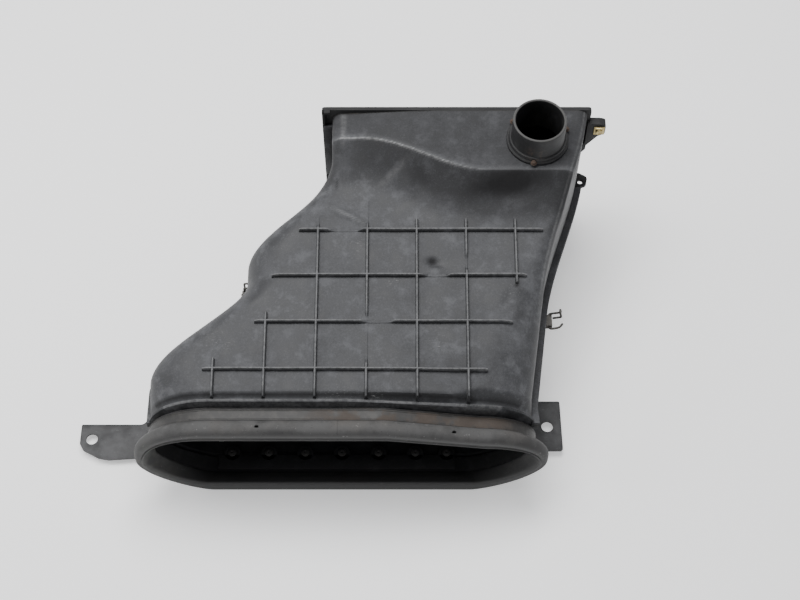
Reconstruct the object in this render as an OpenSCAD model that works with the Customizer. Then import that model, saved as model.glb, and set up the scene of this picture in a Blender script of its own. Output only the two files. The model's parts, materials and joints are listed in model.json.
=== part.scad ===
// Air filter housing of an engine intake. A wide rubber inlet mouth (-Y) feeds a two-part
// ribbed plastic shell. The filter cartridge slides out of the rear (+Y) with its cover,
// and clean air leaves through the round pipe on top. The housing lies on its underside,
// +Z up, with its origin at the centre of its footprint.

/* [Inlet mouth] */
// Distance from the centre plane to the neck's left end
neck_left = 208; // [200:1:215]
// Distance from the centre plane to the neck's right end
neck_right = 212; // [205:1:220]
// Height of the plastic neck at its tallest
neck_h = 129; // [122:1:138]
// Wall of the rubber lip, measured towards the opening
lip_t = 19; // [12:1:22]
// Depth of the rubber lip along the duct
lip_d = 17; // [12:1:20]
// How far the lip flares out past the collar at its top and underside
lip_flare = 8; // [5:1:10]
// How far the lip flares out past the collar at its ends
lip_end_flare = 14; // [8:1:18]
// Fall of the mouth's top edge per millimetre towards its right end
mouth_fall = 0.2; // [0.16:0.01:0.24]
// Wall of the rubber collar that grips the neck
collar_t = 4; // [3:0.5:5]
// Length of the rubber collar
collar_l = 18; // [16:1:24]
// Width of the steel band around the collar
band_w = 13; // [10:1:15]
// Thickness of the steel band
band_t = 1.2; // [0.8:0.1:2]

/* [Shell] */
// Distance from the shoulder bead behind the mouth to the rear flange
body_l = 338; // [300:1:400]
// Wall of both plastic shells
wall = 3; // [2.5:0.1:4]
// Height of the seam between the shells
seam_z = 100; // [95:1:104]
// Height of the shell's floor above the ground
floor_z = 10; // [9:1:14]
// Height of the ribbed roof at its front edge
roof_z0 = 161.6; // [158:0.1:170]
// Rise of the ribbed roof per millimetre of length
roof_rise = 0.1286; // [0.1:0.001:0.15]
// Height of the flat top that carries the pipe
plateau_z = 222; // [215:1:228]
// Length of the hollow slope below the flat top
slope_l = 55; // [45:1:65]
// Large rounding of the left shoulder
shoulder_r = 46; // [30:1:46]
// Width of the seam flange outside the right wall
flange_w = 8; // [6:0.5:10]
// Width of the seam flange outside the left wall
flange_left_w = 4; // [3:0.5:6]
// Thickness of each seam flange
flange_t = 4; // [3:0.5:5]
// Thickness of the rubber cord in the seam
seam_gap = 2; // [1.5:0.1:3]

/* [Roof ribs] */
// Distance between ribs, both ways
rib_pitch = 55; // [50:1:58]
// Thickness of a rib
rib_t = 3.6; // [2.5:0.1:4.5]
// Height of a rib above the roof
rib_h = 5.5; // [3:0.5:7]

/* [Outlet pipe] */
// Outside diameter of the outlet pipe
pipe_od = 60; // [50:1:66]
// Wall of the outlet pipe
pipe_wall = 3.2; // [2.5:0.1:4]
// Height of the outlet pipe above the flat top
pipe_h = 38; // [30:1:45]
// Distance of the pipe's axis right of the centre plane
pipe_x = 221.5; // [212:0.5:226]
// Distance of the pipe's axis ahead of the housing's rear face
pipe_setback = 41; // [39:0.5:44]
// Width of the base ring around the pipe
base_rim = 5; // [4:0.5:6]
// Thickness of the pipe's base ring
base_t = 4; // [3:0.5:5]

/* [Filter cartridge] */
// Width of the filter cartridge
filter_w = 228; // [200:1:232]
// Length of the filter cartridge along the housing
filter_l = 134; // [120:1:140]
// Height of the filter cartridge
filter_h = 44; // [36:1:48]
// Width of the moulded rim around the pleats
filter_rim = 11; // [8:1:16]
// Distance from one pleat to the next
pleat_pitch = 12; // [9:0.5:16]
// Thickness of the filter paper
paper_t = 1; // [0.8:0.1:1.4]

/* [Rear cover] */
// Thickness of the rear cover's plate
cover_t = 4.5; // [3.5:0.5:6]
// Depth of the pressed-out panel behind the plate
cover_box_d = 22.5; // [14:0.5:24]
// Thickness of the rubber seal under the cover
cover_seal_t = 1.2; // [1:0.1:2]

/* [Brackets] */
// Thickness of the steel brackets
bracket_t = 3; // [2.5:0.5:4]
// Diameter of the fixing hole in each bracket
bracket_hole_d = 13.5; // [11:0.5:14]
// Shank diameter of the bracket bolts
bolt_d = 6; // [5:0.5:6]

/* [Wire clips] */
// Wire diameter of the spring clips
wire_d = 2.5; // [2:0.1:3]
// Width of a clip
clip_w = 20; // [16:1:24]
// Angle at which the loose clip on the right stands open
clip_open = 75; // [0:5:90]
// Angle at which the rear cover's clip stands open
cover_clip_open = 60; // [0:5:90]

/* [Fits] */
// Gap between pieces that move past each other
slide_gap = 0.3; // [0.3:0.1:0.6]
// Gap around a clip's wire in its lug
wire_gap = 0.08; // [0.05:0.01:0.1]

/* [Hidden] */

plastic = "#3b3c3f";
dark_plastic = "#26272a";
rubber = "#4a4744";
steel = "#77746f";
corner_steps = 6;       // facets in each rounded corner of the shell
roof_steps = 10;        // facets across the roof

// Along the housing, front to rear
total_l = lip_d + collar_l + body_l + slide_gap + cover_seal_t + cover_box_d;
lip_front_y = -total_l / 2;
neck_y = lip_front_y + lip_d;               // front end of the plastic neck
bead_y = neck_y + collar_l;                 // shoulder bead behind the collar
roof_front_y = bead_y + 11.5;
rear_y = bead_y + body_l;                   // rear face of the rear flange
flange_y = rear_y - flange_t;               // front face of the rear flange
cover_y = rear_y + slide_gap + cover_seal_t;
pipe_y = rear_y - max(pipe_setback, pipe_od / 2 + base_rim + 1);
base_od = pipe_od + 2 * base_rim;           // outside diameter of the pipe's base ring

// The filter's tray and the cartridge that slides over it
tray_z = seam_z + seam_gap / 2 + 5;
tray_t = 3;
filter_x = 3;
filter_y = flange_y - 4 - filter_l;
filter_z = tray_z + tray_t + slide_gap;

// Heights at the mouth
neck_low = collar_t + lip_flare;
neck_top = neck_low + neck_h;

// Left wall: two soft steps from the mouth to the waist and from there to the rear
waist_left = neck_left - 102;
rear_left = waist_left - 95;

function ease(t) = let (u = min(1, max(0, t))) u * u * (3 - 2 * u);
function mix(a, b, t) = a + (b - a) * t;
// Soft step from 0 to 1 between two places, given as shares of the shell's length
function step(y, start, end) = ease(((y - bead_y) / body_l - start) / (end - start));
// Soft step from 0 at the bead to 1 at a distance behind it
function past_bead(y, l) = ease((y - bead_y) / l);

function left_x(y) = -neck_left + (neck_left - waist_left) * step(y, 0.11, 0.46)
    + (waist_left - rear_left) * step(y, 0.51, 0.865);
function right_x(y) = neck_right + 46 * max(0, y - bead_y) / body_l + 27 * step(y, 0.4, 1)
    - 4 * past_bead(y, 22);

// Heights of the roof: mouth top, ledge behind the bead, ribbed plane, and the flat top behind
// the crease
function mouth_top(x) = neck_top - mouth_fall * max(0, x - 50);
function ledge_z(x) = roof_z0 - 5.6 - 0.1 * max(0, x - 10);
function ribbed_z(y) = roof_z0 + roof_rise * (y - roof_front_y);
function shoulder_fall(x, y) = 7 * ease((x - 40) / 130) * (1 - past_bead(y, 70));
function crease_y(x) = rear_y - 35 - 47 * ease((x - 20) / 145);
function plateau_at(x) = plateau_z - 6 * (1 - ease((x + 11) / 125));
function front_z(x, y) = mix(mix(mouth_top(x), ledge_z(x), past_bead(y, 2)),
    ribbed_z(y) - shoulder_fall(x, y), ease((y - bead_y - 5) / (6.5 + 0.25 * max(0, x - 125))));
function roof_z(x, y) = let (t = min(1, max(0, (y - crease_y(x)) / slope_l + 1)))
    mix(front_z(x, y), plateau_at(x), pow(t, 1.8));

// Half axes of the four rounded corners of a cross-section
function blend(y, l, from, to) = [for (k = [0, 1]) mix(from[k], to[k], past_bead(y, l))];
function top_left_r(y) = let (r = mix(shoulder_r, 12, step(y, 0.66, 0.93)))
    blend(y, 40, [70, 62], [r, r]);
function top_right_r(y) = [12 + 50 * (1 - step(y, 0.04, 0.69)), 8 + 34 * (1 - step(y, 0.11, 0.7))];
function low_left_r(y) = blend(y, 90, [66, 62], [14, 14]);
function low_right_r(y) = blend(y, 90, [70, 62], [14, 14]);
function low_slant(y) = mix(1.4, 1, past_bead(y, 90));
function under_z(y) = mix(neck_low, floor_z, past_bead(y, 8));

// Height of the upper corners' centres: left, right
function corner_z(y) = let (rl = top_left_r(y), rr = top_right_r(y))
    [roof_z(left_x(y) + rl[0], y) - rl[1], roof_z(right_x(y) - rr[0], y) - rr[1]];
// How far a corner centred at zc has drawn the side wall in at height z
function inset_at(z, zc, r, d) = let (v = min(1, max(0, (z - zc) / (r[1] - d))))
    (r[0] - d) * (1 - sqrt(1 - v * v));
// Angle at which that corner crosses height z
function start_at(z, zc, r, d) = asin(min(1, max(0, (z - zc) / (r[1] - d))));

// A quarter ellipse from the side wall to the top or bottom; a power above 1 flattens it
function quarter(x, z, side, up, r, d, start = 0, power = 1) = [for (k = [0:corner_steps])
    let (a = mix(start, 90, (k + 0.5) / (corner_steps + 0.5)))
    [x + side * (r[0] - d) * (1 - pow(cos(a), power)), z + up * (r[1] - d) * pow(sin(a), power)]];
function backwards(list) = [for (k = [len(list) - 1:-1:0]) list[k]];

// The arch above the seam at y, moved d inwards, from the left wall to the right wall
function upper_arch(y, d) = let (
    x0 = left_x(y), x1 = right_x(y), rl = top_left_r(y), rr = top_right_r(y),
    xl = x0 + rl[0], xr = x1 - rr[0], zs = seam_z + seam_gap / 2, zc = corner_z(y))
    concat([[x0 + d + inset_at(zs, zc[0], rl, d), zs]],
        quarter(x0 + d, zc[0], 1, 1, rl, d, start_at(zs, zc[0], rl, d)),
        [for (k = [1:roof_steps - 1]) let (x = mix(xl, xr, k / roof_steps)) [x, roof_z(x, y) - d]],
        backwards(quarter(x1 - d, zc[1], -1, 1, rr, d, start_at(zs, zc[1], rr, d))),
        [[x1 - d - inset_at(zs, zc[1], rr, d), zs]]);
// The trough below the seam at y, moved d inwards, from the left wall to the right wall
function lower_arch(y, d) = let (
    x0 = left_x(y), x1 = right_x(y), rl = low_left_r(y), rr = low_right_r(y), zc = corner_z(y),
    zs = seam_z - seam_gap / 2, z0 = under_z(y), slant = low_slant(y))
    concat([for (k = [0:3]) let (z = mix(zs, z0 + rl[1], k / 4))
            [x0 + d + inset_at(z, zc[0], top_left_r(y), d), z]],
        quarter(x0 + d, z0 + rl[1], 1, -1, rl, d, 0, slant),
        backwards(quarter(x1 - d, z0 + rr[1], -1, -1, rr, d, 0, slant)),
        [for (k = [3:-1:0]) let (z = mix(zs, z0 + rr[1], k / 4))
            [x1 - d - inset_at(z, zc[1], top_right_r(y), d), z]]);
function closed_section(y, d) = concat(upper_arch(y, d), backwards(lower_arch(y, d)));
function at_y(y, pts) = [for (p = pts) [p[0], y, p[1]]];
// The inner skin steps up behind the mouth one wall later than the outer skin
function inside_y(y) = y - wall * (1 - ease((y - roof_front_y) / 20));
function band_rows(last) = [neck_y, bead_y - 1, bead_y, bead_y + 2, bead_y + 5, bead_y + 8,
    for (k = [0:18]) mix(roof_front_y, last, k / 18)];

// Joins equal rings of points, front to rear, into one closed wall
module loft(rings) {
    n = len(rings[0]);
    m = len(rings);
    polyhedron(
        points = [for (ring = rings) each ring],
        faces = concat(
            [[for (i = [0:n - 1]) i]],
            [[for (i = [n - 1:-1:0]) (m - 1) * n + i]],
            [for (j = [0:m - 2], i = [0:n - 1]) let (a = j * n + i, b = j * n + (i + 1) % n)
                each [[a, b + n, b], [a, a + n, b + n]]]),
        convexity = 8);
}

// Points of a strip that follows one side wall, between two offsets from it
function side_strip(side, inner, outer, y0, y1) = let (
    rows = [for (k = [0:18]) mix(y0, y1, k / 18)])
    concat([for (y = rows) [side < 0 ? left_x(y) - outer : right_x(y) + outer, y]],
        [for (y = backwards(rows)) [side < 0 ? left_x(y) - inner : right_x(y) + inner, y]]);
// Seam flanges or cord: the left one runs to the rear, the right one stops short of the lug
module flange_strips(z, t, edge) {
    translate([0, 0, z]) linear_extrude(t) {
        polygon(side_strip(-1, -1, flange_left_w - edge, bead_y, rear_y));
        polygon(side_strip(1, -1, flange_w - edge, bead_y, lug_y - lug_r - 3));
    }
}

// Stands a flat outline in XZ upright, from y towards +Y
module upright(y, t) {
    translate([0, y + t, 0]) rotate([90, 0, 0]) linear_extrude(t) children();
}
module rounded(w, h, r) {
    offset(r = r, $fn = 32) square([w - 2 * r, h - 2 * r], center = true);
}

// ---- Shells ----

flange_left = -rear_left - 6;
flange_right = right_x(rear_y) - 4;
module upper_rear_outline(d) {
    polygon(upper_arch(flange_y, d));
}
module lower_rear_outline(d) {
    polygon(lower_arch(flange_y, d));
}

lug_y = rear_y - 13;
lug_x = right_x(lug_y) + 5;
lug_r = 9;
lug_hole_d = 6.5;

module roof_rib(x0, y0, x1, y1) {
    along_x = x1 - x0 > y1 - y0;
    tilt = atan(roof_rise);
    translate([0, roof_front_y, roof_z0]) rotate([tilt, 0, 0])
        translate([x0, (y0 - roof_front_y) / cos(tilt), -1])
            cube([along_x ? x1 - x0 : rib_t, along_x ? rib_t : (y1 - y0) / cos(tilt), rib_h + 1]);
}

rib_row_y = roof_front_y + 22.5;    // front face of the frontmost crosswise rib
rib_col_x = 71.5 - neck_left;       // left face of the leftmost lengthwise rib
// Left and right ends of the crosswise ribs, front to rear
row_ends = [[-146, 161], [-92, 189], [-75, 206], [-46, 226]];
// Rear ends of the lengthwise ribs behind the roof's front edge, left to right
col_ends = [36, 89, 204, 224, 201, 200, 200];
rib_len_pitch = rib_pitch * cos(atan(roof_rise));
module roof_ribs() {
    for (k = [0:3])
        roof_rib(row_ends[k][0], rib_row_y + k * rib_len_pitch, row_ends[k][1],
            rib_row_y + k * rib_len_pitch + rib_t);
    for (k = [0:6])
        roof_rib(rib_col_x + k * rib_pitch, roof_front_y + (k == 6 ? 124 : -5),
            rib_col_x + k * rib_pitch + rib_t, roof_front_y + col_ends[k]);
}

module upper_shell() {
    color(plastic) difference() {
        union() {
            loft([for (y = band_rows(rear_y)) concat(at_y(y, upper_arch(y, 0)),
                backwards(at_y(y, upper_arch(inside_y(y), wall))))]);
            flange_strips(seam_z + seam_gap / 2, flange_t, 0);
            upright(flange_y, flange_t) difference() {
                translate([flange_left, seam_z + seam_gap / 2])
                    square([flange_right - flange_left, 96]);
                upper_rear_outline(wall - 0.5);
            }
            roof_ribs();
            translate([pipe_x, pipe_y, plateau_z - 6]) cylinder(d = base_od + 1, h = 6, $fn = 64);
        }
        translate([pipe_x, pipe_y, plateau_z - 20]) cylinder(d = pipe_od + hole_gap, h = 40, $fn = 64);
    }
}

feet = [[108 - neck_left, bead_y + 46], [neck_right - 115, bead_y + 46],
    [20, rear_y - 25], [250, rear_y - 25]];
foot_d = 26;
tray_post = [for (x = [filter_x + 5, filter_x + filter_w - 8], y = [filter_y + 5, filter_y + filter_l - 6])
    [x, y]];
drain_x = 100;
drain_y = bead_y + 223;
drain_hole_d = 14;
tray_screw_d = 4;
hole_gap = 0.2;

module lower_shell() {
    color(dark_plastic) difference() {
        union() {
            loft([for (y = band_rows(rear_y)) concat(backwards(at_y(y, lower_arch(y, 0))),
                at_y(y, lower_arch(inside_y(y), wall)))]);
            flange_strips(seam_z - seam_gap / 2 - flange_t, flange_t, 0);
            upright(flange_y, flange_t) difference() {
                translate([flange_left, floor_z + 2])
                    square([flange_right - flange_left, seam_z - seam_gap / 2 - floor_z - 2]);
                lower_rear_outline(wall - 0.5);
            }
            translate([lug_x, lug_y, seam_z - seam_gap / 2 - flange_t]) {
                cylinder(r = lug_r, h = flange_t, $fn = 48);
                translate([-lug_r - 4, -lug_r, 0]) cube([lug_r + 4, 2 * lug_r, flange_t]);
            }
            for (p = feet) translate([p[0], p[1], 0])
                cylinder(d = foot_d, h = floor_z + 1, $fn = 48);
            for (p = tray_post) translate([p[0], p[1], floor_z + 1])
                cylinder(d = 12, h = tray_z - floor_z - 1, $fn = 32);
        }
        translate([lug_x, lug_y, 0]) cylinder(d = lug_hole_d, h = 200, $fn = 48);
        translate([drain_x, drain_y, 0]) cylinder(d = drain_hole_d + hole_gap, h = 20, $fn = 48);
        for (p = tray_post) translate([p[0], p[1], tray_z - 14])
            cylinder(d = tray_screw_d + hole_gap, h = 20, $fn = 32);
        for (p = bracket_fix) translate([p[0], p[1], 0]) cylinder(d = bolt_d + hole_gap, h = 20, $fn = 32);
    }
}

module seam_gasket() {
    color(rubber) flange_strips(seam_z - seam_gap / 2, seam_gap, 1);
}

// ---- Inlet mouth ----

// Closed outline of the neck at its front, moved outwards by d, with longer ends
module mouth_outline(d, ends = 0) {
    polygon([for (p = closed_section(neck_y, -d)) [p[0] * (1 + ends / neck_right), p[1]]]);
}
module mouth_slice(y, d, ends) {
    translate([0, y, 0]) rotate([90, 0, 0]) linear_extrude(0.1) mouth_outline(d, ends);
}

drain_hole_x = [-87, 123];
module inlet_bellows() {
    color(rubber) difference() {
        union() {
            upright(neck_y, collar_l) mouth_outline(collar_t);
            hull() {
                mouth_slice(neck_y + 0.1, collar_t, 0);
                mouth_slice(neck_y - 3, collar_t + lip_flare - 2, lip_end_flare - lip_flare);
                mouth_slice(neck_y - 7, collar_t + lip_flare, lip_end_flare - lip_flare);
                mouth_slice(lip_front_y + 0.1, collar_t + lip_flare - 6, lip_end_flare - lip_flare);
            }
        }
        upright(neck_y, collar_l + 1) mouth_outline(0);
        hull() {
            mouth_slice(neck_y + 0.1, -wall, 0);
            mouth_slice(lip_front_y, collar_t + lip_flare - lip_t, lip_end_flare - lip_flare);
        }
        for (x = drain_hole_x) translate([x, neck_y - lip_d / 2, 120]) cylinder(d = 4, h = 60, $fn = 24);
    }
}

band_y = neck_y + 2.5;
module clamp_band() {
    color("#6f5a4a") upright(band_y, band_w) difference() {
        mouth_outline(collar_t + band_t);
        mouth_outline(collar_t);
    }
}
screw_block_x = -40;
module clamp_screw() {
    color(steel) translate([screw_block_x, band_y + band_w / 2, lip_flare - band_t]) {
        translate([-9, -4.5, -6]) cube([18, 9, 6]);
        translate([9, 0, -3]) rotate([0, 90, 0]) cylinder(d = 5.6, h = 6, $fn = 6);
    }
}

retainer_x = [-126, -84, -42, 0, 42, 84, 120];
retainer_y = neck_y + 22;
retainer_z = lip_flare + collar_t + wall;
module lip_retainer() {
    color(dark_plastic) difference() {
        union() {
            translate([-141, neck_y + 2, retainer_z]) cube([269, 18, 3]);
            for (x = retainer_x) translate([x, retainer_y, retainer_z]) cylinder(d = 19, h = 3, $fn = 48);
        }
        for (x = retainer_x) translate([x, retainer_y, 0]) cylinder(d = 5, h = 40, $fn = 32);
    }
}
module retainer_screws() {
    color(steel) for (x = retainer_x) translate([x, retainer_y, retainer_z]) {
        cylinder(d = 5, h = 3, $fn = 32);
        translate([0, 0, 3]) cylinder(d1 = 9.5, d2 = 6.5, h = 2.6, $fn = 32);
    }
}

// ---- Outlet pipe ----

pipe_r = pipe_od / 2;
pipe_screw_a = [-100, 20, 140];
module outlet_pipe() {
    color(dark_plastic) translate([pipe_x, pipe_y, 0]) difference() {
        union() {
            rotate_extrude($fn = 96) translate([pipe_r - pipe_wall, 0]) polygon([
                [0, plateau_z - 9], [pipe_wall, plateau_z - 9],
                [pipe_wall, plateau_z + pipe_h - 1.5], [pipe_wall - 1.2, plateau_z + pipe_h],
                [0, plateau_z + pipe_h]]);
            translate([0, 0, plateau_z]) cylinder(d = base_od, h = base_t, $fn = 96);
            translate([0, 0, plateau_z]) cylinder(r = pipe_r + 2.4, h = base_t + 4, $fn = 96);
        }
        translate([0, 0, plateau_z - 20])
            cylinder(r = pipe_r - pipe_wall, h = 80, $fn = 96);
        translate([0, 0, plateau_z + 1.5]) rotate_extrude($fn = 96)
            translate([pipe_r, -2]) square([1.6, 2]);
    }
}
module pipe_seal() {
    color(rubber) translate([pipe_x, pipe_y, plateau_z]) difference() {
        cylinder(r = pipe_r + 1.6, h = 1.5, $fn = 96);
        translate([0, 0, -1]) cylinder(r = pipe_r, h = 4, $fn = 96);
    }
}
module pipe_screws() {
    color("#7a5a45") translate([pipe_x, pipe_y, plateau_z + base_t]) for (a = pipe_screw_a)
        rotate([0, 0, a]) translate([base_od / 2 + 0.1, 0, 0.1]) cylinder(d = 5, h = 2.4, $fn = 32);
}

// ---- Filter ----

seal_t = 4;
module filter_tray() {
    inset = wall + 1.5;
    rows = [for (k = [0:16]) mix(filter_y - 6, flange_y - 1, k / 16)];
    color(plastic) difference() {
        union() {
            translate([0, 0, tray_z]) linear_extrude(tray_t) polygon(concat(
                [for (y = rows) [left_x(y) + inset, y]],
                [for (y = backwards(rows)) [right_x(y) - inset, y]]));
            upright(filter_y - 6, 3) intersection() {
                polygon(upper_arch(filter_y - 4.5, inset + 0.5));
                translate([-200, tray_z]) square([600, 200]);
            }
        }
        translate([filter_x + filter_rim, filter_y + filter_rim, 0])
            cube([filter_w - 2 * filter_rim, filter_l - 2 * filter_rim, 200]);
        for (p = tray_post) translate([p[0], p[1], 0])
            cylinder(d = tray_screw_d, h = 200, $fn = 32);
    }
}
module tray_screws() {
    color(steel) for (p = tray_post) translate([p[0], p[1], tray_z - 12])
        cylinder(d = tray_screw_d, h = 12 + tray_t, $fn = 32);
}

module filter_block(inset, z, h) {
    translate([filter_x + inset, filter_y + inset, z])
        cube([filter_w - 2 * inset, filter_l - 2 * inset, h]);
}
module filter_frame() {
    color("#3d5a3a") difference() {
        filter_block(0, filter_z + seal_t, filter_h - seal_t);
        filter_block(filter_rim, filter_z, filter_h + 10);
    }
}
module filter_seal() {
    color("#2d2d2d") difference() {
        filter_block(0, filter_z, seal_t);
        filter_block(filter_rim - 3, filter_z - 1, seal_t + 2);
    }
}
pleat_w = filter_w - 2 * filter_rim;
pleats = floor(pleat_w / pleat_pitch);
pleat_h = filter_h - seal_t - 6;
function pleat_line(shift) = [for (k = [0:2 * pleats])
    [k * pleat_w / (2 * pleats), (k % 2 == 0 ? 0 : pleat_h - 2 * paper_t) + shift]];
module filter_pleats() {
    color("#d9c89a") translate([filter_x + filter_rim, filter_y + filter_l - filter_rim,
        filter_z + seal_t + 2]) rotate([90, 0, 0])
        linear_extrude(filter_l - 2 * filter_rim)
            polygon(concat(pleat_line(0), backwards(pleat_line(2 * paper_t))));
}
mesh_t = 1.2;
module filter_mesh() {
    z = filter_z + filter_h - 3;
    color(steel) {
        for (k = [0:12]) translate([filter_x + filter_rim + k * (pleat_w - mesh_t) / 12,
            filter_y + filter_rim, z]) cube([mesh_t, filter_l - 2 * filter_rim, mesh_t]);
        for (k = [0:7])
            translate([filter_x + filter_rim, filter_y + filter_rim
                + k * (filter_l - 2 * filter_rim - mesh_t) / 7, z])
                cube([pleat_w, mesh_t, mesh_t]);
    }
}

// ---- Rear cover ----

cover_left = flange_left - 6;
cover_right = right_x(rear_y);
ear_x = cover_right + 16;
ear_tip_x = cover_right + 23.5;
cover_mid = (cover_left + cover_right) / 2 + 1;
cover_low = floor_z + 2;
ear_z = 191;
module cover_outline() {
    polygon([[cover_left, cover_low], [cover_right, cover_low], [cover_right, 138],
        [cover_right + 5, 146], [cover_right + 5, plateau_z], [cover_left, plateau_z]]);
}
module rear_cover() {
    color(dark_plastic) {
        difference() {
            union() {
                upright(cover_y, cover_t) cover_outline();
                upright(cover_y + cover_t - 0.5, cover_box_d - cover_t + 0.5)
                    translate([cover_mid, 98]) rounded(250, 150, 12);
                upright(cover_y - 5, cover_t + 5) polygon([[cover_right + 4, 156],
                    [ear_x, ear_z - 12], [ear_tip_x, ear_z - 8], [ear_tip_x, ear_z + 9],
                    [ear_x, ear_z + 11], [cover_right + 4, ear_z + 11]]);
                translate([cover_left - 6, cover_y + cover_t - 0.5, cover_clip_z - lug_half])
                    cube([12, 7, 2 * lug_half]);
            }
            upright(cover_y - 1, cover_box_d - 2)
                translate([cover_mid, 98]) rounded(244, 144, 9);
            translate([ear_x, cover_y + 40, ear_z]) rotate([90, 0, 0])
                cylinder(d = 7, h = 80, $fn = 48);
            cover_clip_bore();
        }
        for (x = [filter_x + 20, filter_x + filter_w - 40])
            translate([x, filter_y + filter_l, filter_z + 14])
                cube([20, cover_y + cover_box_d - 3 - filter_y - filter_l, 14]);
    }
}
module cover_seal() {
    color(rubber) upright(rear_y + slide_gap, cover_seal_t) difference() {
        polygon(closed_section(rear_y, 0.3));
        polygon(closed_section(rear_y, wall - 0.2));
    }
}
module clip_nut() {
    color("#b79a4a") translate([ear_x, cover_y - 5, ear_z]) difference() {
        translate([-6, -1.2, -8]) cube([12.5, 1.2, 14]);
        translate([0, 1, 0]) rotate([90, 0, 0]) cylinder(d = 5, h = 4, $fn = 32);
    }
}

// ---- Brackets ----

bracket_z = floor_z - bracket_t;
left_bx = 3 - neck_left;                    // brackets are laid out from the neck's ends
right_bx = neck_right;
left_hole = [left_bx - 86, bead_y + 25];
right_hole = [right_bx + 26, bead_y + 41];
bracket_fix = [[left_bx + 65, bead_y + 65.5], [left_bx + 65, bead_y + 25.5],
    [right_bx - 78, bead_y + 65.5], [right_bx - 78, bead_y + 25.5]];
module bracket(x, outline, hole, fix) {
    color(steel) difference() {
        translate([x, bead_y, bracket_z]) linear_extrude(bracket_t) polygon(outline);
        translate([hole[0], hole[1], 0]) cylinder(d = bracket_hole_d, h = 20, $fn = 64);
        for (p = fix) translate([p[0], p[1], 0]) cylinder(d = bolt_d, h = 20, $fn = 32);
    }
}
module left_bracket() {
    bracket(left_bx, [[-99.5, 43.5], [-99.5, 19], [-95, 11], [-76, 1], [-64, -1],
        [80, 9], [80, 81], [5, 81], [-28, 43.5]], left_hole, [bracket_fix[0], bracket_fix[1]]);
}
module right_bracket() {
    bracket(right_bx, [[42, 73.5], [43, 12.5], [41, 10.5], [-95, 9.5], [-95, 79.5],
        [13, 79.5], [14, 73.5]], right_hole, [bracket_fix[2], bracket_fix[3]]);
}
module bracket_bolts() {
    color(steel) for (p = bracket_fix) translate([p[0], p[1], 0]) {
        translate([0, 0, bracket_z]) cylinder(d = bolt_d, h = 16, $fn = 32);
        translate([0, 0, bracket_z - 4]) cylinder(d = 11.5, h = 4, $fn = 6);
    }
}
module bracket_nuts() {
    color(steel) for (p = bracket_fix) translate([p[0], p[1], floor_z + wall]) difference() {
        cylinder(d = 11.5, h = 5, $fn = 6);
        translate([0, 0, -1]) cylinder(d = bolt_d, h = 8, $fn = 32);
    }
}

// ---- Wire clips ----
// Local frame of a clip: the pivot at the origin along Y, flanges towards -X, catch at +Z.

wire_r = wire_d / 2;
bend_r = 2.4;                               // of the wire's centre line
lug_half = clip_w / 2 - bend_r - slide_gap; // half the length of a clip's lug
clip_lift = 2 * flange_t + seam_gap + 3;    // from the pivot up to the top of the flanges
pivot_out = 3.6;                            // from the flange edge out to the pivot
right_clip_y = bead_y + 135.5;
left_clip_y = bead_y + 0.49556 * body_l;    // at the waist
cover_clip_z = 26;
pivot_z = seam_z - seam_gap / 2 - flange_t - 3;

function unit(v) = v / norm(v);
// Wire along a path that turns only square corners, each bent round an arc
module wire(path) {
    last = len(path) - 1;
    for (k = [0:last - 1]) {
        dir = unit(path[k + 1] - path[k]);
        from = path[k] + dir * (k == 0 ? 0 : bend_r);
        to = path[k + 1] - dir * (k == last - 1 ? 0 : bend_r);
        translate(from) rotate([0, acos(dir[2]), atan2(dir[1], dir[0])])
            cylinder(r = wire_r, h = norm(to - from), $fn = 24);
    }
    for (k = [1:last - 1]) {
        u = unit(path[k] - path[k - 1]);
        v = unit(path[k + 1] - path[k]);
        w = cross(u, v);
        c = path[k] + (v - u) * bend_r;
        multmatrix([[-v[0], u[0], w[0], c[0]], [-v[1], u[1], w[1], c[1]],
            [-v[2], u[2], w[2], c[2]], [0, 0, 0, 1]])
            rotate_extrude(angle = 90, $fn = 32) translate([bend_r, 0]) circle(r = wire_r, $fn = 24);
    }
}
// A clip whose catch bar reaches inwards over the flanges, with its ends in the lug's bore
module clip_wire(lift, reach) {
    h = clip_w / 2;
    stub = h - bend_r - 4;
    top = lift + wire_r + slide_gap;
    wire([[0, -stub, 0], [0, -h, 0], [0, -h, top], [-reach, -h, top],
        [-reach, h, top], [0, h, top], [0, h, 0], [0, stub, 0]]);
}
module clip_saddles() {
    z = seam_z - seam_gap / 2 - flange_t;
    edges = [[right_x(right_clip_y) + flange_w, right_clip_y, 1],
        [left_x(left_clip_y) - flange_left_w, left_clip_y, -1]];
    color(steel) for (e = edges) translate([e[0], e[1], z]) difference() {
        translate([e[2] > 0 ? -3 : -pivot_out - 3, -lug_half, -7]) cube([pivot_out + 6, 2 * lug_half, 7]);
        translate([e[2] * pivot_out, 20, pivot_z - z]) rotate([90, 0, 0])
            cylinder(r = wire_r + wire_gap, h = 40, $fn = 32);
    }
}
module right_clip() {
    color(steel) translate([right_x(right_clip_y) + flange_w + pivot_out, right_clip_y, pivot_z])
        rotate([0, clip_open, 0]) clip_wire(clip_lift, pivot_out + 4);
}
module left_clip() {
    color(steel) translate([left_x(left_clip_y) - flange_left_w - pivot_out, left_clip_y, pivot_z])
        mirror([1, 0, 0]) clip_wire(clip_lift, pivot_out + 2);
}
cover_clip_y = cover_y + cover_t + 3;
module cover_clip_bore() {
    translate([cover_left - pivot_out, cover_clip_y, cover_clip_z - 20])
        cylinder(r = wire_r + wire_gap, h = 40, $fn = 32);
}
module cover_clip() {
    color(steel) translate([cover_left - pivot_out, cover_clip_y, cover_clip_z])
        rotate([90, 0, 0]) mirror([1, 0, 0]) rotate([0, cover_clip_open, 0])
            clip_wire(cover_clip_y - flange_y, pivot_out + 8);
}

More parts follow.
